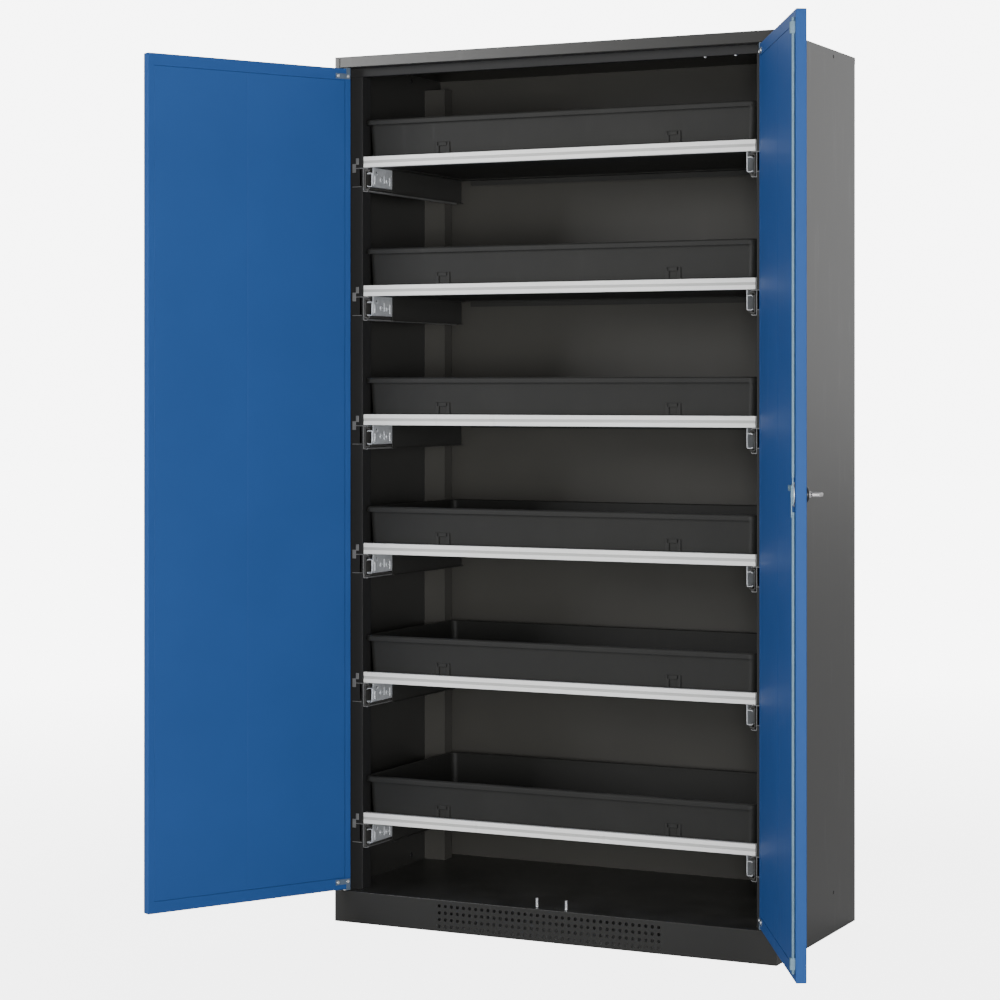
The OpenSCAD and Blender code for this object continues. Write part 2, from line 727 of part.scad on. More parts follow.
// Frame under the tray: two side plates on the slides, two shelves and two cross members.
module carrier(i) color(tray_grey) {
    foot = rail_foot(i);
    shelf_x = inner_x - shelf_t;
    rear = slide_y + slide_l;
    both_sides() {
        box(shelf_x, slide_y + carrier_front, foot - carrier_h, inner_x, rear, foot);
        box(shelf_x - shelf_w, rail_y + rail_d, foot, inner_x, rear, foot + shelf_t);
    }
    for (y = [rail_y + rail_d, rear - cross_d])
        box(-shelf_x, y, foot, shelf_x, y + cross_d, foot + shelf_t);
    box(-shelf_x, rail_y + rail_d, foot, shelf_x, rail_y + rail_d + shelf_t, foot + rail_h - rail_t);
}

// Extruded front rail, open at the back, with three fine grooves in its face.
module front_rail(i) color(rail_white) along_x(-rail_x, rail_x) difference() {
    foot = rail_foot(i);
    head = foot + rail_h;
    chamfer = rail_t / 2;
    polygon([[rail_y + chamfer, foot], [rail_y + rail_d, foot], [rail_y + rail_d, foot + rail_t],
        [rail_y + rail_d, head], [rail_y + chamfer, head], [rail_y, head - chamfer],
        [rail_y, foot + chamfer]]);
    rect(rail_y + rail_t, foot + rail_t, rail_y + rail_d + eps, head - rail_t);
    for (share = groove_shares)
        rect(rail_y - eps, foot + share * rail_h - groove_w / 2, rail_y + groove_d,
            foot + share * rail_h + groove_w / 2);
}

// A tapered block: full size at its top, drawn in by the draft at its foot.
module tapered(x, y0, y1, z0, z1, draft) intersection() {
    along_y(y0, y1) polygon([[draft - x, z0], [x - draft, z0], [x, z1], [-x, z1]]);
    along_x(-x, x) polygon([[y0 + draft, z0], [y1 - draft, z0], [y1, z1], [y0, z1]]);
}

module tray(i) color(tray_grey) {
    foot = rail_foot(i) + shelf_t;
    rim_top = rail_foot(i) + rail_h + rim_above;
    rim_rear = rim_y + tray_d;
    wall_rear = rim_rear - wall_y + rim_y;
    draft_rate = tray_draft / (rim_top - foot);
    tab_z = rail_foot(i) + rail_h + tab_rise;
    difference() {
        union() {
            tapered(wall_x, wall_y, wall_rear, foot, rim_top, tray_draft);
            box(-rail_x, rim_y, rim_top - tray_wall, rail_x, rim_rear, rim_top);
            difference() {
                box(-rail_x, rim_y, rim_top - rim_h, rail_x, rim_rear, rim_top);
                box(tray_wall - rail_x, rim_y + tray_wall, rim_top - rim_h - eps,
                    rail_x - tray_wall, rim_rear - tray_wall, rim_top - tray_wall);
            }
        }
        tapered(wall_x - tray_wall, wall_y + tray_wall, wall_rear - tray_wall, foot + tray_wall,
            rim_top + eps, tray_draft - draft_rate * tray_wall);
        for (x = [-tab_x, tab_x])
            tab_recess(x, wall_y + draft_rate * (rim_top - tab_z - tab_h / 2) + tab_d, tab_z);
    }
}

// A shallow arch pressed into the tray's front wall down to a plane.
module tab_recess(x, y, z) {
    leg = tab_w / 4;
    for (side = [-1, 1])
        box(x + side * (tab_w - leg) / 2 - leg / 2, wall_y - eps, z,
            x + side * (tab_w - leg) / 2 + leg / 2, y, z + tab_h);
    box(x - tab_w / 2, wall_y - eps, z + tab_h - leg, x + tab_w / 2, y, z + tab_h);
}

// ---------------------------------------------------------------- nodes

side_panel_left();
side_panel_right();
back_panel();
top_panel();
floor_panel();
plinth_panel();
floor_bearers();
front_posts();
rear_posts();
levelling_feet();
frame_pins();
for (i = [0 : TRAYS - 1]) {
    cabinet_slides(i);
    middle_slides(i);
    tray_slides(i);
    carrier(i);
    front_rail(i);
    tray(i);
}
door_left();
inner_panel_left();
hinge_plates_left();
door_right();
inner_panel_right();
hinge_plates_right();
rod_guides();
lock_case();
escutcheon();
turn_handle();
lock_cam();
lock_rod_upper();
lock_rod_lower();
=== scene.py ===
"""Looks of a tall two-door steel cabinet with six pull-out trays on telescopic slides.

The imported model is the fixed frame. Each class below is one sub-assembly: it holds its sizes,
builds its meshes as a sheet-metal worker would fold them, and dresses them in their finishes.
Lengths are in metres, +Z is up, the front faces -Y and the doors stand open.
"""

from __future__ import annotations

import logging
import math
from collections.abc import Callable, Iterator, Sequence
from contextlib import contextmanager
from dataclasses import dataclass, field
from enum import Enum

import bmesh
import bpy
from mathutils import Matrix, Vector

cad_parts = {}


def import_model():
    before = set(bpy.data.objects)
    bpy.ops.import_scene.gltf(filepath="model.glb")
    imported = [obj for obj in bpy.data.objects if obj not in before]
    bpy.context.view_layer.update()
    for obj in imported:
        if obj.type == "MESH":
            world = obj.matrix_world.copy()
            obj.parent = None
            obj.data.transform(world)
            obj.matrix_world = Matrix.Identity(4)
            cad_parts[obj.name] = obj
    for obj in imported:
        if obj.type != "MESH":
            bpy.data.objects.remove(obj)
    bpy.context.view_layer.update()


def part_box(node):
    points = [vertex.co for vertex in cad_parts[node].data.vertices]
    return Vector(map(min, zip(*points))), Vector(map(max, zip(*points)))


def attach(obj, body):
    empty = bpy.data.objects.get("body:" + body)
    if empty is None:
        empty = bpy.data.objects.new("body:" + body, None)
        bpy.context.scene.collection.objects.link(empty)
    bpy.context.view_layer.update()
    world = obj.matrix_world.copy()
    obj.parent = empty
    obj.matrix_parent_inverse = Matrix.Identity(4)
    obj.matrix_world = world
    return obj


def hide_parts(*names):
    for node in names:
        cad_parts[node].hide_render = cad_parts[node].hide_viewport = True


logging.basicConfig(level=logging.INFO, format="%(message)s")
LOG = logging.getLogger("cabinet")

MM = 0.001
TINY = 0.05 * MM
TRAYS = 6
SMOOTH_BELOW = 38.0
WELD = 0.002 * MM
SPARE = 1 * MM
UPRIGHT = 0.9
FOLDED = 1.0
Point = tuple[float, float]
Triple = tuple[float, float, float]
Piece = bpy.types.Object
Socket = bpy.types.NodeSocket
Test = Callable[[Vector, Vector], bool]


class Run(Enum):
    """The axis that a section runs along, with the two axes that it is drawn in."""

    X = (1, 2, 0)
    Y = (0, 2, 1)
    Z = (0, 1, 2)

    def point(self, u: float, v: float, w: float) -> Vector:
        """The point with section coordinates u and v, at w along the run."""
        spot = Vector((0.0, 0.0, 0.0))
        spot[self.value[0]], spot[self.value[1]], spot[self.value[2]] = u, v, w
        return spot


class Side(Enum):
    """A side of the cabinet, as seen from the front."""

    LEFT = "left"
    RIGHT = "right"


# ---------------------------------------------------------------- modelling tools


def stand_by() -> None:
    """Leaves edit mode and deselects everything."""
    if bpy.context.object is not None and bpy.context.object.mode != "OBJECT":
        bpy.ops.object.mode_set(mode="OBJECT")
    bpy.ops.object.select_all(action="DESELECT")


def activate(piece: Piece) -> None:
    """Makes a piece the only selected and the active one.

    Args:
        piece: The piece to work on.
    """
    stand_by()
    piece.select_set(True)
    bpy.context.view_layer.objects.active = piece


@contextmanager
def editing(piece: Piece, kind: str = "FACE") -> Iterator[None]:
    """Edits a piece's mesh with nothing selected in it.

    Args:
        piece: The piece to edit.
        kind: The select mode: VERT, EDGE or FACE.
    """
    activate(piece)
    bpy.ops.object.mode_set(mode="EDIT")
    bpy.ops.mesh.select_mode(type=kind)
    bpy.ops.mesh.select_all(action="DESELECT")
    yield
    bpy.ops.object.mode_set(mode="OBJECT")


@contextmanager
def picking() -> Iterator[bmesh.types.BMesh]:
    """The edited mesh, with nothing picked in it to start with."""
    bpy.ops.mesh.select_all(action="DESELECT")
    data = bpy.context.object.data
    yield bmesh.from_edit_mesh(data)
    bmesh.update_edit_mesh(data)


def pick_edges(test: Test) -> None:
    """Selects the edges of the edited mesh whose two ends pass a test."""
    with picking() as mesh:
        for edge in mesh.edges:
            if test(edge.verts[0].co, edge.verts[1].co):
                edge.select_set(True)


def pick_sharp(angle: float) -> None:
    """Selects the edges whose two faces meet at more than an angle, in radians."""
    with picking() as mesh:
        for edge in mesh.edges:
            edge.select_set(len(edge.link_faces) == 2 and edge.calc_face_angle(0.0) > angle)


def pick_faces(test: Test) -> None:
    """Selects the faces of the edited mesh whose centre and normal pass a test."""
    with picking() as mesh:
        for face in mesh.faces:
            if test(face.calc_center_median(), face.normal):
                face.select_set(True)


def on_level(axis: int, level: float) -> Test:
    """A test that picks the edges that lie at a level on an axis."""
    return lambda a, b: abs(a[axis] - level) < TINY and abs(b[axis] - level) < TINY


def at_top(axis: int, level: float) -> Test:
    """A test that picks the edges at or above a level on an axis."""
    return lambda a, b: min(a[axis], b[axis]) > level - TINY


def at_foot(axis: int, level: float) -> Test:
    """A test that picks the edges at or below a level on an axis."""
    return lambda a, b: max(a[axis], b[axis]) < level + TINY


def pull(way: Vector | Triple) -> None:
    """Extrudes what is selected in the edited mesh by a vector."""
    bpy.ops.mesh.extrude_region_move(TRANSFORM_OT_translate={"value": tuple(way)})


def pull_edges(way: Vector | Triple) -> None:
    """Extrudes the selected edges of the edited mesh into new faces along a vector."""
    bpy.ops.mesh.extrude_edges_move(TRANSFORM_OT_translate={"value": tuple(way)})


def sink(test: Test, rim: float, way: Triple) -> None:
    """Insets the edited mesh's faces that pass a test and pulls what the rim encloses.

    Args:
        test: Says of a face's centre and normal whether it is picked.
        rim: The rim's width.
        way: Where the enclosed faces go.
    """
    pick_faces(test)
    bpy.ops.mesh.inset(thickness=rim)
    pull(way)


def slice_at(spot: Triple, way: Triple, **keep: bool) -> None:
    """Cuts through the whole edited mesh at a plane.

    Args:
        spot: A point on the plane.
        way: The plane's normal.
        **keep: Whether the cut is filled and whether the far half goes.
    """
    bpy.ops.mesh.select_all(action="SELECT")
    bpy.ops.mesh.bisect(plane_co=spot, plane_no=way, **keep)


def round_picked(radius: float, segments: int = 3) -> None:
    """Rounds the selected edges of the edited mesh."""
    bpy.ops.mesh.bevel(offset=radius, segments=segments, profile=0.5, affect="EDGES")


def round_edges(piece: Piece, test: Test, radius: float, segments: int) -> None:
    """Rounds a piece's edges whose two ends pass a test.

    Args:
        piece: The piece.
        test: Says of an edge's two ends whether it is rounded.
        radius: The rounding's radius.
        segments: How many facets stand in for it.
    """
    with editing(piece, "EDGE"):
        pick_edges(test)
        round_picked(radius, segments)


def modify(piece: Piece, kind: str, **settings: object) -> None:
    """Adds a modifier to a piece and applies it.

    Args:
        piece: The piece to change.
        kind: The modifier's type.
        **settings: The modifier's settings.
    """
    activate(piece)
    modifier = piece.modifiers.new(kind.lower(), kind)
    for name, value in settings.items():
        setattr(modifier, name, value)
    bpy.ops.object.modifier_apply(modifier=modifier.name)


def settle(piece: Piece, angle: float = SMOOTH_BELOW) -> Piece:
    """Puts a piece's place into its mesh, merges doubles and shades it.

    Args:
        piece: The piece to finish.
        angle: Edges sharper than this, in degrees, stay sharp.

    Returns:
        The same piece.
    """
    activate(piece)
    bpy.ops.object.transform_apply(location=True, rotation=True, scale=True)
    with editing(piece):
        bpy.ops.mesh.select_all(action="SELECT")
        bpy.ops.mesh.remove_doubles(threshold=WELD)
        bpy.ops.mesh.normals_make_consistent(inside=False)
    activate(piece)
    bpy.ops.object.shade_smooth_by_angle(angle=math.radians(angle))
    return piece


def block(name: str, low: Sequence[float], high: Sequence[float]) -> Piece:
    """A box between two corners, the start of a piece.

    Args:
        name: The piece's name.
        low: Its lowest corner.
        high: Its highest corner.

    Returns:
        The new piece, with its place in its mesh.
    """
    stand_by()
    centre = [(a + b) / 2 for a, b in zip(low, high)]
    bpy.ops.mesh.primitive_cube_add(size=1, location=centre)
    piece = bpy.context.object
    piece.name = piece.data.name = name
    piece.scale = [b - a for a, b in zip(low, high)]
    bpy.ops.object.transform_apply(location=True, rotation=True, scale=True)
    return piece


def disc(name: str, radius: float, depth: float, sides: int = 32) -> Piece:
    """A round blank that stands on the origin along +Z, the start of a turned piece.

    Args:
        name: The piece's name.
        radius: Its radius.
        depth: Its height.
        sides: How many sides stand in for the circle.

    Returns:
        The new piece.
    """
    stand_by()
    bpy.ops.mesh.primitive_cylinder_add(
        vertices=sides, radius=radius, depth=depth, location=(0, 0, depth / 2)
    )
    piece = bpy.context.object
    piece.name = piece.data.name = name
    bpy.ops.object.transform_apply(location=True, rotation=True, scale=True)
    return piece


def folded(
    name: str,
    path: Sequence[Point],
    run: Run,
    start: float,
    end: float,
    radius: float,
    sheet: float,
) -> Piece:
    """A strip of sheet folded along a path and run between two places.

    A plane is laid along the path's first stretch, its free edge is extruded stretch by stretch,
    the folds are rounded, and the sheet gets its thickness on the path's left, or on its right
    along Y.

    Args:
        name: The piece's name.
        path: The corners of the outer skin's section.
        run: The axis that the section runs along.
        start: Where the run starts.
        end: Where the run ends.
        radius: The folds' outer radius.
        sheet: The sheet's thickness. Negative puts it on the path's other side.

    Returns:
        The folded piece.
    """
    stand_by()
    first, second = (run.point(u, v, start) for u, v in path[:2])
    along = second - first
    up = run.point(0, 0, end - start)
    bpy.ops.mesh.primitive_plane_add(size=1)
    piece = bpy.context.object
    piece.name = piece.data.name = name
    across = along.cross(up).normalized()
    turned = Matrix((along, up, across)).transposed().to_4x4()
    piece.matrix_world = Matrix.Translation(first + (along + up) / 2) @ turned
    bpy.ops.object.transform_apply(location=True, rotation=True, scale=True)
    u_axis, v_axis, _ = run.value

    def at(corner: Point) -> Test:
        """A test that picks the edge along the run at a corner of the path."""
        return lambda a, b: all(
            abs(p[u_axis] - corner[0]) < TINY and abs(p[v_axis] - corner[1]) < TINY for p in (a, b)
        )

    with editing(piece, "EDGE"):
        for here, there in zip(path[1:], path[2:]):
            pick_edges(at(here))
            pull_edges(run.point(there[0] - here[0], there[1] - here[1], 0))
        if len(path) > 2 and radius > 0:
            corners = [at(corner) for corner in path[1:-1]]
            pick_edges(lambda a, b: any(corner(a, b) for corner in corners))
            round_picked(radius)
    modify(piece, "SOLIDIFY", thickness=abs(sheet), offset=-math.copysign(1.0, sheet))
    return settle(piece)


def join(name: str, pieces: Sequence[Piece]) -> Piece:
    """Joins pieces into one.

    Args:
        name: The joined piece's name.
        pieces: The pieces to join.

    Returns:
        The joined piece.
    """
    stand_by()
    for piece in pieces:
        piece.select_set(True)
    bpy.context.view_layer.objects.active = pieces[0]
    if len(pieces) > 1:
        bpy.ops.object.join()
    pieces[0].name = pieces[0].data.name = name
    return pieces[0]


def cut(piece: Piece, cutters: Sequence[Piece]) -> None:
    """Cuts pieces out of another and removes them.

    Args:
        piece: The piece that is cut.
        cutters: The pieces that are taken away.
    """
    tool = join("cutter", cutters)
    modify(piece, "BOOLEAN", operation="DIFFERENCE", solver="EXACT", object=tool)
    bpy.data.objects.remove(tool)
    activate(piece)
    bpy.ops.object.shade_smooth_by_angle(angle=math.radians(SMOOTH_BELOW))


def copy_of(source: Piece, name: str, place: Matrix) -> Piece:
    """A copy of a piece with a mesh of its own, at another place.

    Args:
        source: The piece to copy.
        name: The copy's name.
        place: Where the copy goes, from where the source is.

    Returns:
        The copy.
    """
    stand_by()
    source.select_set(True)
    bpy.context.view_layer.objects.active = source
    bpy.ops.object.duplicate(linked=False)
    piece = bpy.context.object
    piece.name = piece.data.name = name
    piece.matrix_world = place @ piece.matrix_world
    activate(piece)
    bpy.ops.object.transform_apply(location=True, rotation=True, scale=True)
    return piece


def discard(piece: Piece) -> None:
    """Removes a pattern piece that only its copies needed."""
    bpy.data.objects.remove(piece)


def on_both_sides(piece: Piece) -> Piece:
    """Adds a piece's mirror image across the cabinet's middle plane.

    Args:
        piece: The piece on one side.

    Returns:
        The same piece with both sides.
    """
    modify(piece, "MIRROR", use_axis=(True, False, False), use_mirror_merge=False)
    return settle(piece)


def mirrored(piece: Piece) -> Piece:
    """Turns a right-hand piece into its left-hand mirror image."""
    piece.matrix_world = Matrix.Scale(-1, 4, (1, 0, 0)) @ piece.matrix_world
    return settle(piece)


def facing(normal: Vector, spot: Vector) -> Matrix:
    """The matrix that stands a piece made along +Z at a spot, along a normal."""
    return Matrix.Translation(spot) @ normal.to_track_quat("Z", "Y").to_matrix().to_4x4()


def bar(name: str, radius: float, depth: float, sides: int, place: Matrix) -> Piece:
    """A round bar, to cut with or to join.

    Args:
        name: The bar's name.
        radius: Its radius.
        depth: Its length.
        sides: How many sides stand in for the circle.
        place: Where it goes, from standing on the origin along +Z.

    Returns:
        The bar, with its place in its mesh.
    """
    piece = disc(name, radius, depth, sides)
    piece.matrix_world = place
    return settle(piece)


# ---------------------------------------------------------------- node tools


class Tree:
    """A node tree that is written from left to right."""

    def __init__(self, tree: bpy.types.NodeTree) -> None:
        """Starts on an existing tree."""
        self.tree = tree

    def node(self, kind: str, **settings: object) -> bpy.types.Node:
        """Adds a node.

        Args:
            kind: The node's type.
            **settings: The node's properties.

        Returns:
            The new node.
        """
        made = self.tree.nodes.new(kind)
        for name, value in settings.items():
            setattr(made, name, value)
        return made

    def give(self, target: Socket, value: Socket | float | tuple[float, ...]) -> None:
        """Links a value to an input, or sets it there if it is a constant.

        Args:
            target: The input.
            value: A socket or a constant.
        """
        if isinstance(value, Socket):
            self.tree.links.new(value, target)
        else:
            target.default_value = value

    def place(self) -> Socket:
        """The place on the piece, in Object coordinates."""
        return self.node("ShaderNodeTexCoord").outputs["Object"]

    def split(self, vector: Socket) -> bpy.types.NodeOutputs:
        """The three parts of a vector."""
        made = self.node("ShaderNodeSeparateXYZ")
        self.give(made.inputs[0], vector)
        return made.outputs

    def seen(self) -> Socket:
        """1 for what the camera sees directly, 0 for the light that falls on the rest."""
        return self.node("ShaderNodeLightPath").outputs["Is Camera Ray"]

    def sums(self, operation: str, *terms: Socket | float) -> Socket:
        """Adds a Math node.

        Args:
            operation: What it works out.
            *terms: Its inputs, sockets or numbers.

        Returns:
            Its output.
        """
        made = self.node("ShaderNodeMath", operation=operation)
        for socket, term in zip(made.inputs, terms):
            self.give(socket, term)
        return made.outputs[0]

    def spread(self, value: Socket, low: float, high: float, to: Point) -> Socket:
        """Maps a value's range onto another, clamped.

        Args:
            value: The value.
            low: The value that becomes the first of to.
            high: The value that becomes the second of to.
            to: The new range.

        Returns:
            The mapped value.
        """
        made = self.node("ShaderNodeMapRange")
        names = ("Value", "From Min", "From Max", "To Min", "To Max")
        for name, term in zip(names, (value, low, high, *to)):
            self.give(made.inputs[name], term)
        return made.outputs["Result"]

    def noise(self, place: Socket, **values: Socket | float) -> Socket:
        """Adds a noise texture.

        Args:
            place: Where it is read.
            **values: Its inputs, by name.

        Returns:
            Its value.
        """
        made = self.node("ShaderNodeTexNoise")
        self.give(made.inputs["Vector"], place)
        for name, value in values.items():
            self.give(made.inputs[name], value)
        return made.outputs["Fac"]


def new_group(name: str, inputs: dict[str, float], output: str) -> tuple[Tree, dict, Socket]:
    """Starts a shader node group with float sockets.

    Args:
        name: The group's name.
        inputs: The inputs' names and default values.
        output: The output's name.

    Returns:
        The group's tree, its input sockets by name and its output socket.
    """
    group = bpy.data.node_groups.new(name, "ShaderNodeTree")
    for title, value in inputs.items():
        socket = group.interface.new_socket(title, in_out="INPUT", socket_type="NodeSocketFloat")
        socket.default_value = value
    group.interface.new_socket(output, in_out="OUTPUT", socket_type="NodeSocketFloat")
    tree = Tree(group)
    given = {socket.name: socket for socket in tree.node("NodeGroupInput").outputs}
    return tree, given, tree.node("NodeGroupOutput").inputs[output]


@dataclass
class Effects:
    """The surface effects that several finishes share, each a node group."""

    mottle: bpy.types.NodeTree = field(init=False)
    grain: bpy.types.NodeTree = field(init=False)
    dust: bpy.types.NodeTree = field(init=False)
    rubs: bpy.types.NodeTree = field(init=False)

    def __post_init__(self) -> None:
        """Builds the groups."""
        self.mottle = self.build_mottle()
        self.grain = self.build_grain()
        self.dust = self.build_dust()
        self.rubs = self.build_rubs()

    def build_mottle(self) -> bpy.types.NodeTree:
        """Soft clouds of lighter and darker coat, from 1 - Amount to 1 + Amount."""
        tree, given, out = new_group("coat_mottle", {"Scale": 6.0, "Amount": 0.05}, "Shade")
        clouds = tree.noise(tree.place(), Scale=given["Scale"], Detail=3.0, Roughness=0.55)
        swing = tree.spread(clouds, 0.3, 0.7, (-1.0, 1.0))
        tree.give(out, tree.sums("MULTIPLY_ADD", swing, given["Amount"], 1.0))
        return tree.tree

    def build_grain(self) -> bpy.types.NodeTree:
        """The fine pebbled skin of a powder coat or a moulded plastic, as a height."""
        tree, given, out = new_group("fine_grain", {"Scale": 900.0, "Soften": 0.5}, "Height")
        place = tree.place()
        pebbles = tree.noise(place, Scale=given["Scale"], Detail=2.0)
        waves = tree.noise(place, Scale=tree.sums("MULTIPLY", given["Scale"], 0.21), Detail=1.0)
        soft = tree.sums("MULTIPLY", waves, given["Soften"])
        tree.give(out, tree.sums("ADD", pebbles, soft))
        return tree.tree

    def build_dust(self) -> bpy.types.NodeTree:
        """Thin dust on what faces up, broken by clouds, from 0 to Amount."""
        tree, given, out = new_group("settled_dust", {"Amount": 0.2}, "Mask")
        normal = tree.node("ShaderNodeNewGeometry").outputs["Normal"]
        upward = tree.spread(tree.split(normal)["Z"], 0.6, 1.0, (0.0, 1.0))
        clouds = tree.noise(tree.place(), Scale=14.0, Detail=5.0)
        patches = tree.spread(clouds, 0.35, 0.7, (0.25, 1.0))
        film = tree.sums("MULTIPLY", upward, patches)
        tree.give(out, tree.sums("MULTIPLY", film, given["Amount"]))
        return tree.tree

    def build_rubs(self) -> bpy.types.NodeTree:
        """Short faint rub marks, stretched along the height, from 0 to 1."""
        tree, given, out = new_group("faint_rubs", {"Scale": 40.0}, "Mask")
        stretch = tree.node("ShaderNodeMapping")
        tree.give(stretch.inputs["Scale"], (1.0, 1.0, 0.12))
        tree.give(stretch.inputs["Vector"], tree.place())
        streaks = tree.noise(
            stretch.outputs["Vector"], Scale=given["Scale"], Detail=6.0, Roughness=0.7
        )
        tree.give(out, tree.spread(streaks, 0.56, 0.75, (0.0, 1.0)))
        return tree.tree


class Coating:
    """A material being written around one Principled BSDF."""

    def __init__(self, name: str, effects: Effects) -> None:
        """Starts a material with an empty tree and its shader.

        Args:
            name: The material's name.
            effects: The shared effects.
        """
        self.material = bpy.data.materials.new(name)
        self.material.use_nodes = True
        self.material.node_tree.nodes.clear()
        self.effects = effects
        self.tree = Tree(self.material.node_tree)
        self.shader = self.tree.node("ShaderNodeBsdfPrincipled")
        output = self.tree.node("ShaderNodeOutputMaterial")
        self.tree.give(output.inputs["Surface"], self.shader.outputs["BSDF"])

    def feed(self, name: str, value: Socket | float | tuple[float, ...]) -> None:
        """Links a value to one of the shader's inputs, or sets it there."""
        self.tree.give(self.shader.inputs[name], value)

    def effect(self, group: bpy.types.NodeTree, **values: float) -> Socket:
        """Places one of the shared effects and returns its output.

        Args:
            group: The effect.
            **values: Its inputs, by name.

        Returns:
            Its output.
        """
        placed = self.tree.node("ShaderNodeGroup", node_tree=group)
        for name, value in values.items():
            placed.inputs[name].default_value = value
        return placed.outputs[0]

    def shaded(self, colour: Triple, shade: Socket) -> Socket:
        """A colour multiplied by a shade that changes over the surface.

        Args:
            colour: The colour.
            shade: The shade.

        Returns:
            The shaded colour.
        """
        made = self.tree.node("ShaderNodeVectorMath", operation="SCALE")
        self.tree.give(made.inputs[0], colour)
        self.tree.give(made.inputs["Scale"], shade)
        return made.outputs["Vector"]

    def blended(self, mask: Socket, base: Socket, over: Triple) -> Socket:
        """A colour laid over another by a mask.

        Args:
            mask: How much of the upper colour shows, from 0 to 1.
            base: The lower colour.
            over: The upper colour.

        Returns:
            The blended colour.
        """
        made = self.tree.node("ShaderNodeMix", data_type="RGBA")
        self.tree.give(made.inputs["Factor"], mask)
        self.tree.give(made.inputs["A"], base)
        self.tree.give(made.inputs["B"], (*over, 1.0))
        return made.outputs["Result"]

    def bumped(self, height: Socket, depth: float, strength: float) -> None:
        """Feeds a height to the shader's normal.

        Args:
            height: The height.
            depth: How far it reaches, in metres.
            strength: How much of it shows.
        """
        made = self.tree.node("ShaderNodeBump")
        for name, value in (("Strength", strength), ("Distance", depth), ("Height", height)):
            self.tree.give(made.inputs[name], value)
        self.feed("Normal", made.outputs["Normal"])


# ---------------------------------------------------------------- finishes


@dataclass(frozen=True)
class PowderCoat:
    """Baked powder coat: a soft sheen over a fine pebbled skin."""

    name: str
    slot: str
    colour: Triple
    roughness: float = 0.38
    gloss: float = 0.5
    clouds: float = 5.0
    mottle: float = 0.05
    dust: float = 0.10
    dust_colour: Triple = (0.42, 0.41, 0.39)
    dulling: float = 0.5
    rubs: float = 30.0
    rub_shine: float = 0.07
    grain: float = 700.0
    soften: float = 0.8
    depth: float = 0.08 * MM
    relief: float = 0.25

    def material(self, effects: Effects) -> bpy.types.Material:
        """Writes the material.

        Args:
            effects: The shared effects.

        Returns:
            The material.
        """
        coat = Coating(self.name, effects)
        clouds = coat.effect(effects.mottle, Scale=self.clouds, Amount=self.mottle)
        film = coat.effect(effects.dust, Amount=self.dust)
        coat.feed(
            "Base Color", coat.blended(film, coat.shaded(self.colour, clouds), self.dust_colour)
        )
        rubs = coat.effect(effects.rubs, Scale=self.rubs)
        shine = coat.tree.spread(
            rubs, 0.0, 1.0, (self.roughness, self.roughness - self.rub_shine)
        )
        coat.feed("Roughness", coat.tree.sums("MULTIPLY_ADD", film, self.dulling, shine))
        coat.feed("Specular IOR Level", self.gloss)
        height = coat.effect(effects.grain, Scale=self.grain, Soften=self.soften)
        coat.bumped(height, self.depth, self.relief)
        return coat.material


@dataclass(frozen=True)
class MouldedPlastic(PowderCoat):
    """Moulded plastic with an eroded skin, that dust doesn't dull."""

    roughness: float = 0.5
    gloss: float = 0.45
    clouds: float = 9.0
    mottle: float = 0.08
    dust: float = 0.14
    dust_colour: Triple = (0.35, 0.34, 0.32)
    dulling: float = 0.0
    rubs: float = 55.0
    rub_shine: float = 0.12
    grain: float = 1100.0
    soften: float = 0.3
    depth: float = 0.10 * MM
    relief: float = 0.35


@dataclass(frozen=True)
class ZincPlate:
    """Zinc: a metal with soft crystals and rolling lines."""

    name: str
    colour: Triple = (0.62, 0.64, 0.66)
    roughness: float = 0.42
    crystals: float = 90.0
    metallic: float = 0.35
    slot: str = "zinc_plate"

    def material(self, effects: Effects) -> bpy.types.Material:
        """Writes the material.

        Args:
            effects: The shared effects.

        Returns:
            The material.
        """
        coat = Coating(self.name, effects)
        cells = coat.tree.node("ShaderNodeTexVoronoi")
        coat.tree.give(cells.inputs["Scale"], self.crystals)
        coat.tree.give(cells.inputs["Vector"], coat.tree.place())
        crystal = coat.tree.spread(cells.outputs["Color"], 0.0, 1.0, (0.90, 1.06))
        clouds = coat.effect(effects.mottle, Scale=24.0, Amount=0.08)
        shade = coat.tree.sums("MULTIPLY", crystal, clouds)
        coat.feed("Base Color", coat.shaded(self.colour, shade))
        rubs = coat.effect(effects.rubs, Scale=120.0)
        worn = (self.roughness, self.roughness + 0.12)
        coat.feed("Roughness", coat.tree.spread(rubs, 0.0, 1.0, worn))
        coat.feed("Metallic", self.metallic)
        height = coat.effect(effects.grain, Scale=1400.0, Soften=0.4)
        coat.bumped(height, 0.03 * MM, 0.2)
        return coat.material


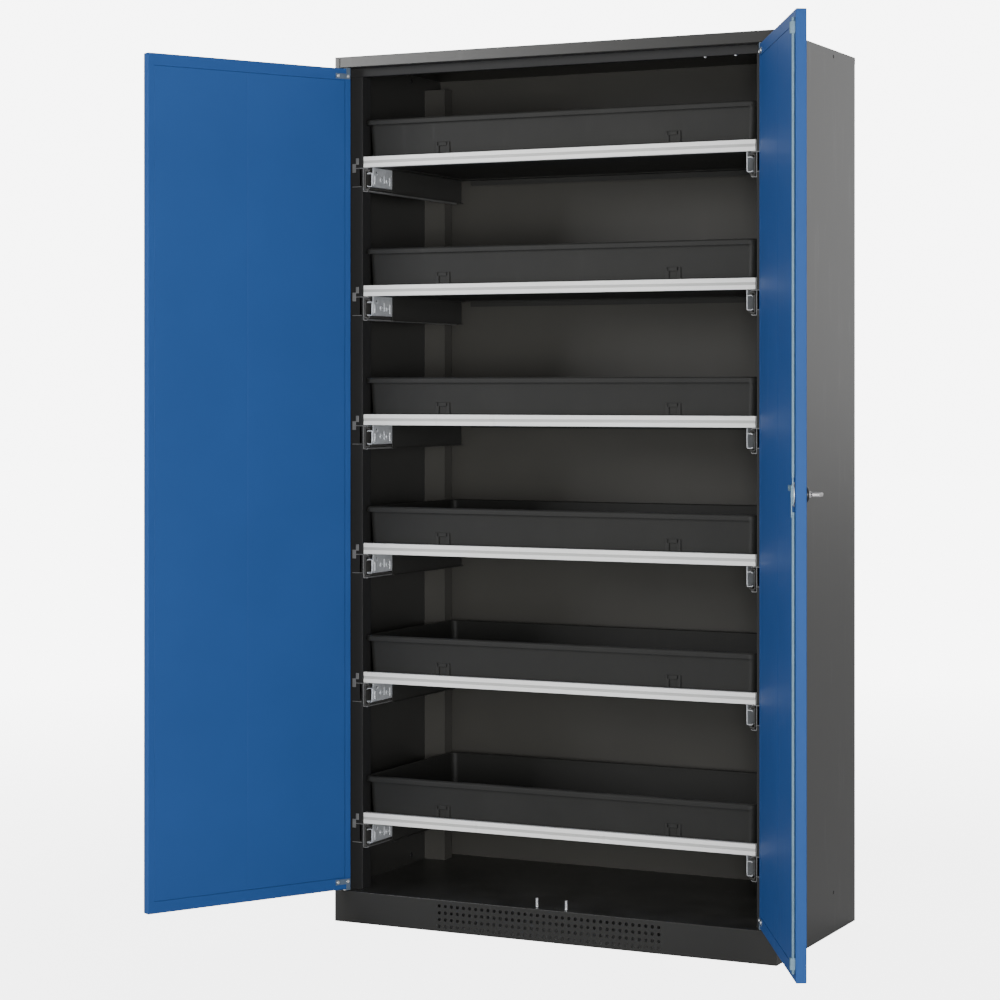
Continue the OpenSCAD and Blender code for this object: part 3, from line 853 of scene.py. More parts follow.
@dataclass(frozen=True)
class StudioFloor:
    """A pale matt floor that fades into the white surround."""

    name: str = "studio_floor"
    colour: Triple = (0.62, 0.62, 0.62)
    near: Point = (1.2, 4.6)
    far: Point = (5.0, 7.0)
    footprint: Point = (0.5275, 0.26)

    def material(self, effects: Effects) -> bpy.types.Material:
        """Writes the material, which glows for the camera alone, and not under the cabinet.

        Args:
            effects: The shared effects.

        Returns:
            The material.
        """
        coat = Coating(self.name, effects)
        tree = coat.tree
        clouds = coat.effect(effects.mottle, Scale=1.5, Amount=0.01)
        coat.feed("Base Color", coat.shaded(self.colour, clouds))
        coat.feed("Roughness", 0.9)
        coat.feed("Specular IOR Level", 0.1)
        coat.feed("Emission Color", (1.0, 1.0, 1.0, 1.0))
        place = tree.place()
        reach = tree.node("ShaderNodeVectorMath", operation="LENGTH")
        tree.give(reach.inputs[0], place)
        (start, dim), (end, bright) = self.near, self.far
        glow = tree.spread(reach.outputs["Value"], start, end, (dim, bright))
        parts = tree.split(place)
        beyond = [
            tree.sums("GREATER_THAN", tree.sums("ABSOLUTE", parts[axis]), half)
            for axis, half in zip("XY", self.footprint)
        ]
        bare = tree.sums("MULTIPLY", glow, tree.sums("MAXIMUM", *beyond))
        coat.feed("Emission Strength", tree.sums("MULTIPLY", bare, tree.seen()))
        return coat.material


class Finish(Enum):
    """The finishes on the cabinet."""

    CARCASS = PowderCoat(
        "carcass_anthracite", "carcass_paint", (0.0245, 0.0243, 0.0225), roughness=0.33
    )
    # A darker, duller copy of the carcass anthracite: painted shade on the stop posts, the stop
    # strip under the beam and the floor bearers.
    POST = PowderCoat(
        "post_anthracite", "carcass_paint", (0.022, 0.022, 0.022), roughness=0.55, gloss=0.25
    )
    # A lighter copy of the carcass anthracite: painted light on the back panel and the rear posts,
    # standing in for light that reaches into the cabinet.
    BACK = PowderCoat(
        "back_anthracite", "carcass_paint", (0.058, 0.056, 0.050), roughness=0.5, gloss=0.4
    )
    DOOR = PowderCoat(
        "door_gentian", "door_paint", (0.025, 0.089, 0.288),
        roughness=0.52, mottle=0.03, dust=0.02, gloss=0.12,
    )
    CARRIER = PowderCoat(
        "carrier_grey", "carrier_paint", (0.030, 0.030, 0.028), roughness=0.5, gloss=0.3
    )
    RAIL = PowderCoat(
        "rail_white", "rail_white", (0.97, 0.97, 0.94),
        roughness=0.30, mottle=0.01, dust=0.0, gloss=0.8,
    )
    # A grey copy of the rail's white: painted shade along the rail's channel.
    STRIP = PowderCoat(
        "rail_strip_grey", "rail_white", (0.55, 0.55, 0.53),
        roughness=0.30, mottle=0.02, dust=0.0,
    )
    TRAY = MouldedPlastic(
        "tray_dark", "tray_grey", (0.019, 0.019, 0.0175), roughness=0.55, gloss=0.28
    )
    BLACK = MouldedPlastic("knob_black", "black_plastic", (0.012, 0.012, 0.013), roughness=0.35)
    ZINC = ZincPlate("slide_zinc")
    # A dark copy of the zinc: painted shade on the cabinet members and their clips.
    DULL = ZincPlate("dull_zinc", (0.24, 0.24, 0.24), 0.45, metallic=0.3)
    # A near-black copy of the zinc: painted shade on the middle members, which sit between the
    # others.
    OILED = ZincPlate("oiled_zinc", (0.085, 0.083, 0.078), 0.3, metallic=0.3)
    # A dark, blue-tinted copy of the zinc on the hinge plates and legs: its darkness is painted
    # shade.
    HINGE = ZincPlate("blued_zinc", (0.13, 0.18, 0.25), 0.45, metallic=0.25)
    ROD = ZincPlate("rod_zinc", (0.15, 0.26, 0.34), 0.5, 400.0, 0.2)
    KNOB = ZincPlate("knob_zinc", (0.42, 0.41, 0.41), 0.40, 400.0, 0.35)
    BRIGHT = ZincPlate("bright_zinc", (0.82, 0.83, 0.84), 0.26, 400.0, 0.6)


@dataclass
class Paintshop:
    """Writes each finish once and dresses the pieces in it."""

    effects: Effects = field(default_factory=Effects)
    stock: dict[Finish, bpy.types.Material] = field(default_factory=dict)

    def material(self, finish: Finish) -> bpy.types.Material:
        """The material of a finish, written on first use."""
        if finish not in self.stock:
            self.stock[finish] = finish.value.material(self.effects)
        return self.stock[finish]

    def coat(self, piece: Piece, finish: Finish) -> None:
        """Puts a finish on a piece or a CAD node, and nothing else."""
        piece.data.materials.clear()
        piece.data.materials.append(self.material(finish))

    def dress(
        self, piece: Piece, finish: Finish, body: str, *nodes: str
    ) -> Piece:
        """Finishes a new piece: coats it, rides it on a body and lets it stand for CAD nodes.

        Args:
            piece: The piece.
            finish: Its finish.
            body: The CAD body that it moves with.
            *nodes: The CAD nodes that it stands for.

        Returns:
            The same piece.
        """
        modify(piece, "WEIGHTED_NORMAL", mode="FACE_AREA", keep_sharp=True)
        self.coat(piece, finish)
        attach(piece, body)
        if nodes:
            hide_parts(*nodes)
        LOG.info("%s rides on %s, %d faces", piece.name, body, len(piece.data.polygons))
        return piece


# ---------------------------------------------------------------- small fittings


def rail_foot(number: int) -> float:
    """The height of a rail's lower edge, which the tray behind it is drawn from."""
    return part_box(f"front_rail_{number}")[0].z


@dataclass
class Fastener:
    """A pan-head screw with a cross recess, modelled once and copied."""

    head: float = 3.5 * MM
    rise: float = 1.6 * MM
    slot: float = 0.9 * MM
    pattern: Piece = field(init=False)

    def __post_init__(self) -> None:
        """Models the pattern screw at the origin, its head along +Z."""
        screw = disc("screw_pattern", self.head, self.rise, 24)
        round_edges(screw, at_top(2, self.rise), 0.7 * self.rise, 4)
        reach, half = 0.55 * self.head, self.slot / 2
        deep, high = 0.4 * self.rise, 2 * self.rise
        for x, y in ((reach, half), (half, reach)):
            cut(screw, [block("arm", (-x, -y, deep), (x, y, high))])
        self.pattern = settle(screw)

    def at(self, name: str, spot: Vector, normal: Vector) -> Piece:
        """A copy of the screw that sits at a spot, its head along a normal."""
        return copy_of(self.pattern, name, facing(normal, spot))


def rivet(name: str, spot: Vector, normal: Vector, radius: float, rise: float) -> Piece:
    """A domed rivet head with a dimple.

    Args:
        name: Its name.
        spot: Where its foot sits.
        normal: The way that its head faces.
        radius: Its radius.
        rise: Its height.

    Returns:
        The rivet.
    """
    head = disc("rivet", radius, rise, 16)
    round_edges(head, at_top(2, rise), 0.8 * rise, 3)
    with editing(head):
        sink(
            lambda centre, way: way.z > UPRIGHT and centre.length < rise + radius / 4,
            0.3 * radius, (0, 0, -0.4 * rise),
        )
    placed = copy_of(settle(head), name, facing(normal, spot))
    discard(head)
    return placed


# ---------------------------------------------------------------- carcass


@dataclass
class Carcass:
    """Side walls, roof, posts, floor and plinth, as folded sheets."""

    shop: Paintshop
    screws: Fastener
    sheet: float = 1.0 * MM
    bend: float = 1.6 * MM
    fold: float = 13 * MM
    fold_play: float = 0.3 * MM
    rebate: float = 29 * MM
    back_flange: float = 15 * MM
    post_reach: float = 55 * MM
    post_return: float = 40 * MM
    post_slot_x: Point = (1.8 * MM, 7.5 * MM)
    post_slot_z: Point = (42 * MM, 3 * MM)
    strip_return: float = 15 * MM
    strip_screws_x: Point = (354 * MM, 423 * MM)
    seam: float = 0.7 * MM
    foot_flange: float = 20 * MM
    lap: float = 3 * MM
    floor_play: float = 0.2 * MM
    floor_fold: float = 8 * MM
    floor_bend: float = 0.8 * MM
    stop_pin: Point = (35 * MM, -235 * MM)
    joining_hole: float = 4 * MM
    joining_back: float = 153 * MM
    joining_ends: Point = (19 * MM, 15 * MM)
    cap: Point = (6.5 * MM, 1.4 * MM)
    rod_hole: float = 4 * MM
    rod_spot: Point = (13.5 * MM, -235.7 * MM)
    bore_length: float = 6 * MM
    vents: tuple[int, int] = (36, 4)
    vent_pitch: float = 15 * MM
    vent_low: float = 11 * MM
    vent_radius: float = 3.7 * MM
    half_w: float = field(init=False)
    front: float = field(init=False)
    back: float = field(init=False)
    top: float = field(init=False)
    plinth_top: float = field(init=False)
    strip_foot: float = field(init=False)
    beam_foot: float = 1925 * MM

    def __post_init__(self) -> None:
        """Reads the sheet planes off the frame."""
        low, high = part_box("top_panel")
        self.half_w, self.front, self.back, self.top = high.x, low.y, high.y, high.z
        self.strip_foot = low.z
        self.plinth_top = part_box("plinth_panel")[1].z

    def build(self) -> None:
        """Builds and dresses the carcass."""
        self.side_walls()
        self.roof()
        self.posts()
        self.base()
        self.collars()
        self.hole_caps()
        self.strip_screws()
        # The back panel and the rear posts wear the lighter copy of the anthracite: painted light.
        # The floor bearers wear the darker copy of the anthracite: painted shade.
        for node, finish in (
            ("back_panel", Finish.BACK),
            ("rear_posts", Finish.BACK),
            ("floor_bearers", Finish.POST),
            ("levelling_feet", Finish.ZINC),
            ("frame_pins", Finish.BRIGHT),
        ):
            self.shop.coat(bpy.data.objects[node], finish)

    def joining_spots(self, inward: float) -> list[Vector]:
        """The joining holes' places on the right wall, at a distance inside its outer face.

        Args:
            inward: The distance.

        Returns:
            The places of the lower and the upper hole.
        """
        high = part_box("side_panel_right")[1]
        low_end, high_end = self.joining_ends
        return [
            Vector((high.x - inward, high.y - self.joining_back, height))
            for height in (self.plinth_top + low_end, self.top - high_end)
        ]

    def rod_bore(self, foot: float) -> Piece:
        """A cutter for the hole that a lock rod passes through."""
        place = Matrix.Translation((*self.rod_spot, foot))
        return bar("bore", self.rod_hole, self.bore_length, 24, place)

    def side_walls(self) -> None:
        """The two side walls with their front folds, back flanges and joining holes."""
        fold_x = self.half_w - self.fold
        wall = folded(
            "wall",
            [
                (self.half_w, self.front + self.sheet),
                (self.half_w, self.back),
                (self.half_w - self.back_flange, self.back),
            ],
            Run.Z, 0, self.top - self.sheet, self.bend, self.sheet,
        )
        fold = folded(
            "fold",
            [
                (fold_x, self.front + self.rebate),
                (fold_x, self.front),
                (self.half_w, self.front),
                (self.half_w, self.front + 3 * self.sheet),
            ],
            Run.Z, self.plinth_top, self.top - self.bend - self.fold_play, self.bend, self.sheet,
        )
        cut(wall, [
            bar("bore", self.joining_hole, self.bore_length, 24, facing(Vector((1, 0, 0)), spot))
            for spot in self.joining_spots(self.bore_length / 2)
        ])
        right = join("side_wall_right", [wall, fold])
        left = mirrored(copy_of(right, "side_wall_left", Matrix.Identity(4)))
        self.shop.dress(settle(right), Finish.CARCASS, "carcass", "side_panel_right")
        self.shop.dress(left, Finish.CARCASS, "carcass", "side_panel_left")

    def roof(self) -> None:
        """The roof with the beam's face and the rebate's ceiling, and the stop strip."""
        stop = self.front + self.rebate
        shell = folded(
            "roof_and_beam",
            [
                (self.back, self.top - self.back_flange),
                (self.back, self.top),
                (self.front, self.top),
                (self.front, self.beam_foot),
                (stop + self.sheet, self.beam_foot),
            ],
            Run.X, -self.half_w, self.half_w, self.bend, self.sheet,
        )
        strip = folded(
            "stop_strip",
            [
                (stop, self.beam_foot + self.sheet),
                (stop, self.strip_foot),
                (stop + self.strip_return, self.strip_foot),
            ],
            Run.X, self.fold - self.half_w, self.half_w - self.fold, self.bend, self.sheet,
        )
        cut(shell, [self.rod_bore(self.beam_foot - 2 * SPARE)])
        fold_x, past_x = self.half_w - self.fold - self.seam, self.half_w + SPARE
        cut(shell, [
            block(
                "fold_room",
                (left, self.front - SPARE, self.beam_foot - SPARE),
                (right, self.front + 2 * self.sheet, self.top - self.bend),
            )
            for left, right in ((-past_x, -fold_x), (fold_x, past_x))
        ])
        self.shop.dress(settle(shell), Finish.CARCASS, "carcass", "top_panel")
        # The stop strip wears the darker copy of the anthracite: painted shade under the beam.
        self.shop.dress(strip, Finish.POST, "carcass")

    def hole_caps(self) -> None:
        """The caps that close the joining holes from inside."""
        caps = [
            rivet("cap", spot, Vector((-1, 0, 0)), *self.cap)
            for spot in self.joining_spots(self.sheet)
        ]
        caps = on_both_sides(join("joining_hole_caps", caps))
        self.shop.dress(caps, Finish.BLACK, "carcass")

    def strip_screws(self) -> None:
        """The two screws in the stop strip's lower fold."""
        y = self.front + self.rebate + self.strip_return / 2
        heads = [
            self.screws.at("screw", Vector((x, y, self.strip_foot)), Vector((0, 0, -1)))
            for x in self.strip_screws_x
        ]
        self.shop.dress(join("stop_strip_screws", heads), Finish.BRIGHT, "carcass")

    def collars(self) -> None:
        """The collars at the feet of the doors' two stop pins."""
        x, y = self.stop_pin
        heads = [
            self.screws.at("collar", Vector((side * x, y, self.plinth_top)), Vector((0, 0, 1)))
            for side in (-1, 1)
        ]
        self.shop.dress(join("stop_pin_collars", heads), Finish.BRIGHT, "carcass")

    def posts(self) -> None:
        """The stop posts behind the doors' hinge ends, with slots for the slides' clips."""
        stop = self.front + self.rebate
        post_x = self.half_w - self.post_reach
        post = folded(
            "front_posts_folded",
            [
                (post_x + self.back_flange, stop + self.post_return),
                (post_x, stop + self.post_return),
                (post_x, stop),
                (self.half_w - self.fold + self.sheet, stop),
            ],
            Run.Z, self.plinth_top, self.strip_foot, self.bend, self.sheet,
        )
        (inner, outer), (low, high) = self.post_slot_x, self.post_slot_z
        cut(post, [
            block(
                "slot",
                (post_x + inner, stop - 2 * SPARE, rail_foot(number) - low),
                (post_x + outer, stop + 2 * SPARE, rail_foot(number) - high),
            )
            for number in range(1, TRAYS + 1)
        ])
        # The posts wear the darker copy of the anthracite: painted shade.
        self.shop.dress(on_both_sides(post), Finish.POST, "carcass", "front_posts")

    def base(self) -> None:
        """The perforated plinth and the floor sheet behind its folded top edge."""
        plinth = folded(
            "plinth",
            [
                (self.front + self.foot_flange, 0),
                (self.front, 0),
                (self.front, self.plinth_top),
                (self.front + self.lap, self.plinth_top),
            ],
            Run.X, -self.half_w, self.half_w, self.bend, -self.sheet,
        )
        self.perforate(plinth)
        self.shop.dress(settle(plinth), Finish.CARCASS, "carcass", "plinth_panel")
        low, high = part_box("floor_panel")
        edge = self.front + self.lap + self.floor_play
        floor = folded(
            "floor_sheet",
            [
                (edge, self.plinth_top - self.floor_fold),
                (edge, self.plinth_top),
                (high.y, self.plinth_top),
            ],
            Run.X, low.x, high.x, self.floor_bend, -self.sheet,
        )
        cut(floor, [self.rod_bore(self.plinth_top - 3 * SPARE)])
        self.shop.dress(settle(floor), Finish.CARCASS, "carcass", "floor_panel")

    def perforate(self, plinth: Piece) -> None:
        """Drills the plinth's vent holes.

        Args:
            plinth: The folded plinth.
        """
        columns, rows = self.vents
        place = facing(Vector((0, -1, 0)), Vector((0, self.front + self.bore_length / 2, 0)))
        pattern = bar("vent", self.vent_radius, self.bore_length, 16, place)
        drills = []
        for column in range(columns):
            x = (column - (columns - 1) / 2) * self.vent_pitch
            for row in range(rows):
                z = self.vent_low + row * self.vent_pitch
                drills.append(copy_of(pattern, "vent", Matrix.Translation((x, 0, z))))
        discard(pattern)
        cut(plinth, drills)


# ---------------------------------------------------------------- doors


@dataclass
class DoorLeaf:
    """One door: a folded pan with an inner skin between its lips and two hinge plates.

    It is modelled closed, as the right-hand door, swung open, and mirrored for the left.
    """

    shop: Paintshop
    screws: Fastener
    side: Side
    angle: float
    sheet: float = 1.0 * MM
    bend: float = 2.0 * MM
    free_x: float = 1.5 * MM
    hinge_x: float = 511 * MM
    face_y: float = -260 * MM
    inner_y: float = -239 * MM
    foot: float = 75 * MM
    head: float = 1922 * MM
    lip_side: float = 15 * MM
    lip_end: float = 26 * MM
    pivot: Point = (505 * MM, -255 * MM)
    skin_gap: float = 0.15 * MM
    skin_step: float = 0.4 * MM
    skin_bend: float = 1.2 * MM
    seam_x: float = 243.5 * MM
    seam_w: float = 3 * MM
    seam_deep: float = 0.9 * MM
    notch: Triple = (39.5 * MM, 976 * MM, 1024 * MM)
    plate_length: float = 38 * MM
    plate_height: float = 12 * MM
    plate_thick: float = 1.5 * MM
    plate_end: float = 2 * MM
    plate_edge: float = 11.5 * MM
    plate_bend: float = 0.3 * MM
    neck: float = 12 * MM
    neck_cut: float = 1 * MM
    leg: float = 2 * MM
    nose: float = 4 * MM
    screw_gap: float = 26 * MM

    def swing(self, piece: Piece) -> Piece:
        """Swings a closed piece open, and mirrors it if the door is the left one.

        Args:
            piece: The piece, as modelled on the closed right-hand door.

        Returns:
            The same piece.
        """
        hinge = Matrix.Translation((*self.pivot, 0))
        turn = Matrix.Rotation(math.radians(self.angle), 4, "Z")
        piece.matrix_world = hinge @ turn @ hinge.inverted()
        settle(piece)
        return mirrored(piece) if self.side is Side.LEFT else piece

    def build(self) -> None:
        """Builds and dresses the door."""
        side = self.side.value
        for piece, finish, nodes in (
            (self.pan(), Finish.DOOR, [f"door_{side}"]),
            (self.inner_skin(), Finish.DOOR, [f"inner_panel_{side}"]),
            # The hinge fittings wear the dark, blue-tinted copy of the zinc: painted shade.
            (self.hinges(), Finish.HINGE, [f"hinge_plates_{side}"]),
            (self.hinge_screws(), Finish.BRIGHT, []),
        ):
            self.shop.dress(self.swing(piece), finish, f"door_{side}", *nodes)

    def pan(self) -> Piece:
        """The pan: a face sheet with returns and lips, rounded at every fold."""
        pan = block(
            f"door_pan_{self.side.value}",
            (self.free_x, self.face_y, self.foot),
            (self.hinge_x, self.inner_y, self.head),
        )
        rise = self.lip_end - self.lip_side
        middle_x, middle_z = (self.free_x + self.hinge_x) / 2, (self.foot + self.head) / 2
        inner = self.hinge_x - self.free_x - 3 * self.lip_side
        with editing(pan):
            pick_faces(lambda centre, way: way.y > UPRIGHT)
            bpy.ops.mesh.inset(thickness=self.lip_side)
            for end in (-1, 1):
                edge_z = middle_z + end * ((self.head - self.foot) / 2 - self.lip_side)
                bpy.ops.mesh.select_mode(type="EDGE")
                pick_edges(on_level(2, edge_z))
                bpy.ops.transform.translate(value=(0, 0, -end * rise))
            bpy.ops.mesh.select_mode(type="FACE")
            pick_faces(
                lambda centre, way: way.y > UPRIGHT
                and abs(centre.z - middle_z) < inner / 2
                and abs(centre.x - middle_x) < inner / 4
            )
            bpy.ops.mesh.delete(type="FACE")
        with editing(pan, "EDGE"):
            pick_sharp(FOLDED)
            round_picked(self.bend, 4)
        modify(pan, "SOLIDIFY", thickness=self.sheet, offset=-1.0)
        return settle(pan)

    def inner_skin(self) -> Piece:
        """The inner skin: a shallow pan let in between the lips, with a pressed seam."""
        face = self.inner_y - self.skin_step
        skin = block(
            f"door_inner_skin_{self.side.value}",
            (
                self.free_x + self.lip_side + self.skin_gap,
                self.face_y + self.sheet,
                self.foot + self.lip_end + self.skin_gap,
            ),
            (
                self.hinge_x - self.lip_side - self.skin_gap,
                face,
                self.head - self.lip_end - self.skin_gap,
            ),
        )
        valley = self.seam_x + self.seam_w / 2
        outside, inside = at_top(1, face), on_level(0, valley)
        with editing(skin):
            pick_faces(lambda centre, way: way.y < -UPRIGHT)
            bpy.ops.mesh.delete(type="FACE")
        with editing(skin, "EDGE"):
            for cross in (self.seam_x, valley, self.seam_x + self.seam_w):
                slice_at((cross, 0, 0), (1, 0, 0))
            pick_edges(lambda a, b: outside(a, b) and inside(a, b))
            bpy.ops.transform.translate(value=(0, -self.seam_deep, 0))
            pick_sharp(FOLDED)
            round_picked(self.skin_bend, 3)
        modify(skin, "SOLIDIFY", thickness=self.sheet, offset=-1.0)
        if self.side is Side.RIGHT:
            end, low, high = self.notch
            room = block("notch", (0, self.face_y - SPARE, low), (end, self.inner_y, high))
            cut(skin, [room])
        return settle(skin)

    def hinges(self) -> Piece:
        """The hinge plates at the top and the bottom, each with its leg."""
        left = self.pivot[0] - self.neck / 2
        right = self.pivot[0] + self.neck / 2 - self.neck_cut
        end_x = self.hinge_x - self.plate_end
        parts = []
        for up, rim in ((1, self.head), (-1, self.foot)):
            near = rim - up * self.plate_edge
            far = rim - up * (self.plate_edge + self.plate_height)
            tip = rim + up * self.leg
            plate = block(
                "plate",
                (end_x - self.plate_length, self.inner_y, min(near, far)),
                (end_x, self.inner_y + self.plate_thick, max(near, far)),
            )
            with editing(plate, "EDGE"):
                slice_at((left, 0, 0), (1, 0, 0))
            with editing(plate):
                pick_faces(lambda centre, way: way.z * up > UPRIGHT and centre.x > left)
                pull((0, 0, up * (self.plate_edge + self.leg)))
            leg = block(
                "leg",
                (left, self.pivot[1] - self.nose, min(rim, tip)),
                (right, self.inner_y + self.plate_thick / 2, max(rim, tip)),
            )
            for made in (plate, leg):
                with editing(made, "EDGE"):
                    bpy.ops.mesh.select_all(action="SELECT")
                    round_picked(self.plate_bend, 2)
            parts += [plate, leg]
        return settle(join(f"hinge_fittings_{self.side.value}", parts))

    def hinge_screws(self) -> Piece:
        """The two screws in each hinge plate."""
        middle = self.hinge_x - self.plate_end - self.plate_length / 2
        inward = self.plate_edge + self.plate_height / 2
        y = self.inner_y + self.plate_thick
        parts = [
            self.screws.at("screw", Vector((x, y, z)), Vector((0, 1, 0)))
            for z in (self.head - inward, self.foot + inward)
            for x in (middle - self.screw_gap / 2, middle + self.screw_gap / 2)
        ]
        return settle(join(f"hinge_screws_{self.side.value}", parts))


@dataclass
class RodLock:
    """The lock on the right door: knob, escutcheon, cam, case, rods and guides."""

    shop: Paintshop
    door: DoorLeaf
    axis: Point = (28.5 * MM, 1000 * MM)
    rosette_radius: float = 15 * MM
    rosette_rise: float = 7 * MM
    rosette_roll: float = 2.6 * MM
    rosette_rim: float = 1.4 * MM
    rosette_step: float = 1.0 * MM
    neck_radius: float = 6.5 * MM
    neck_length: float = 5 * MM
    neck_bend: float = 1.2 * MM
    grip_length: float = 40 * MM
    grip_deep: float = 23 * MM
    grip_thick: float = 8 * MM
    grip_arc: float = 24.8 * MM
    grip_bend: float = 2.8 * MM
    key: Triple = (0.8 * MM, 2.6 * MM, 3 * MM)
    spindle: Point = (4 * MM, 22 * MM)
    stand_off: float = 7.3 * MM
    rod: Point = (13.5 * MM, -235.7 * MM)
    bore: float = 3.1 * MM
    guide: float = 10 * MM
    guide_length: float = 23 * MM
    guide_end: float = 24 * MM
    guide_bend: float = 2.2 * MM

    def build(self) -> None:
        """Builds and dresses the lock."""
        for piece, finish, body, node in (
            (self.escutcheon(), Finish.BLACK, "door_right", "escutcheon"),
            (self.knob(), Finish.KNOB, "lock", "turn_handle"),
            (self.guides(), Finish.ROD, "door_right", "rod_guides"),
        ):
            self.shop.dress(self.door.swing(piece), finish, body, node)
        for node, finish in (
            ("lock_case", Finish.ZINC),
            ("lock_cam", Finish.ZINC),
            ("lock_rod_upper", Finish.ROD),
            ("lock_rod_lower", Finish.ROD),
        ):
            self.shop.coat(bpy.data.objects[node], finish)

    def on_axis(self, piece: Piece, proud: float) -> Piece:
        """Stands a turned piece on the lock's axis, off the closed door's outer face.

        Args:
            piece: The piece, made along +Z.
            proud: How far off the face its foot is.

        Returns:
            The same piece.
        """
        spot = Vector((self.axis[0], self.door.face_y - proud, self.axis[1]))
        piece.matrix_world = facing(Vector((0, -1, 0)), spot)
        return settle(piece)

    def escutcheon(self) -> Piece:
        """The round rosette under the knob, with a rolled rim and a step."""
        rise = self.rosette_rise
        plate = disc("escutcheon_turned", self.rosette_radius, rise, 48)
        round_edges(plate, at_top(2, rise), self.rosette_roll, 6)
        with editing(plate):
            sink(
                lambda centre, way: way.z > 0.99 and centre.z > rise - TINY,
                self.rosette_rim, (0, 0, -self.rosette_step),
            )
        return self.on_axis(plate, 0)

    def knob(self) -> Piece:
        """The turning knob: a neck and a half-moon grip with rounded edges and a key slot."""
        end = self.neck_length + self.grip_deep
        neck = disc("neck", self.neck_radius, self.neck_length, 40)
        round_edges(neck, at_top(2, self.neck_length), self.neck_bend, 4)
        centre = Matrix.Translation((0, self.grip_thick / 2, end - self.grip_arc))
        lying = Matrix.Rotation(math.radians(90), 4, "X")
        grip = bar("grip", self.grip_arc, self.grip_thick, 72, centre @ lying)
        with editing(grip, "EDGE"):
            for spot, way in (
                ((0, 0, self.neck_length - SPARE), (0, 0, -1)),
                ((self.grip_length / 2, 0, 0), (1, 0, 0)),
                ((-self.grip_length / 2, 0, 0), (-1, 0, 0)),
            ):
                slice_at(spot, way, use_fill=True, clear_outer=True)
            pick_edges(lambda a, b: abs(a.y - b.y) < TINY)
            round_picked(self.grip_bend, 5)
        x, y, deep = self.key
        cut(grip, [block("key", (-x, -y, end - deep), (x, y, end + SPARE))])
        radius, length = self.spindle
        length += self.stand_off
        spindle = bar("spindle", radius, length, 32, Matrix.Translation((0, 0, -length)))
        return self.on_axis(join("turning_knob", [neck, grip, spindle]), self.stand_off)

    def guides(self) -> Piece:
        """The two guide blocks that hold the rods to the door's lip."""
        x, outer = self.rod[0], self.door.inner_y + self.guide
        lowest = self.door.foot + self.guide_end
        highest = self.door.head - self.guide_end - self.guide_length
        parts = []
        for low in (lowest, highest):
            shoe = block(
                "shoe",
                (x - self.guide / 2, self.door.inner_y, low),
                (x + self.guide / 2, outer, low + self.guide_length),
            )
            round_edges(shoe, at_top(1, outer), self.guide_bend, 4)
            place = Matrix.Translation((*self.rod, low - 2 * SPARE))
            cut(shoe, [bar("bore", self.bore, self.guide_length + 4 * SPARE, 32, place)])
            parts.append(shoe)
        return settle(join("rod_guide_shoes", parts))


# ---------------------------------------------------------------- drawers


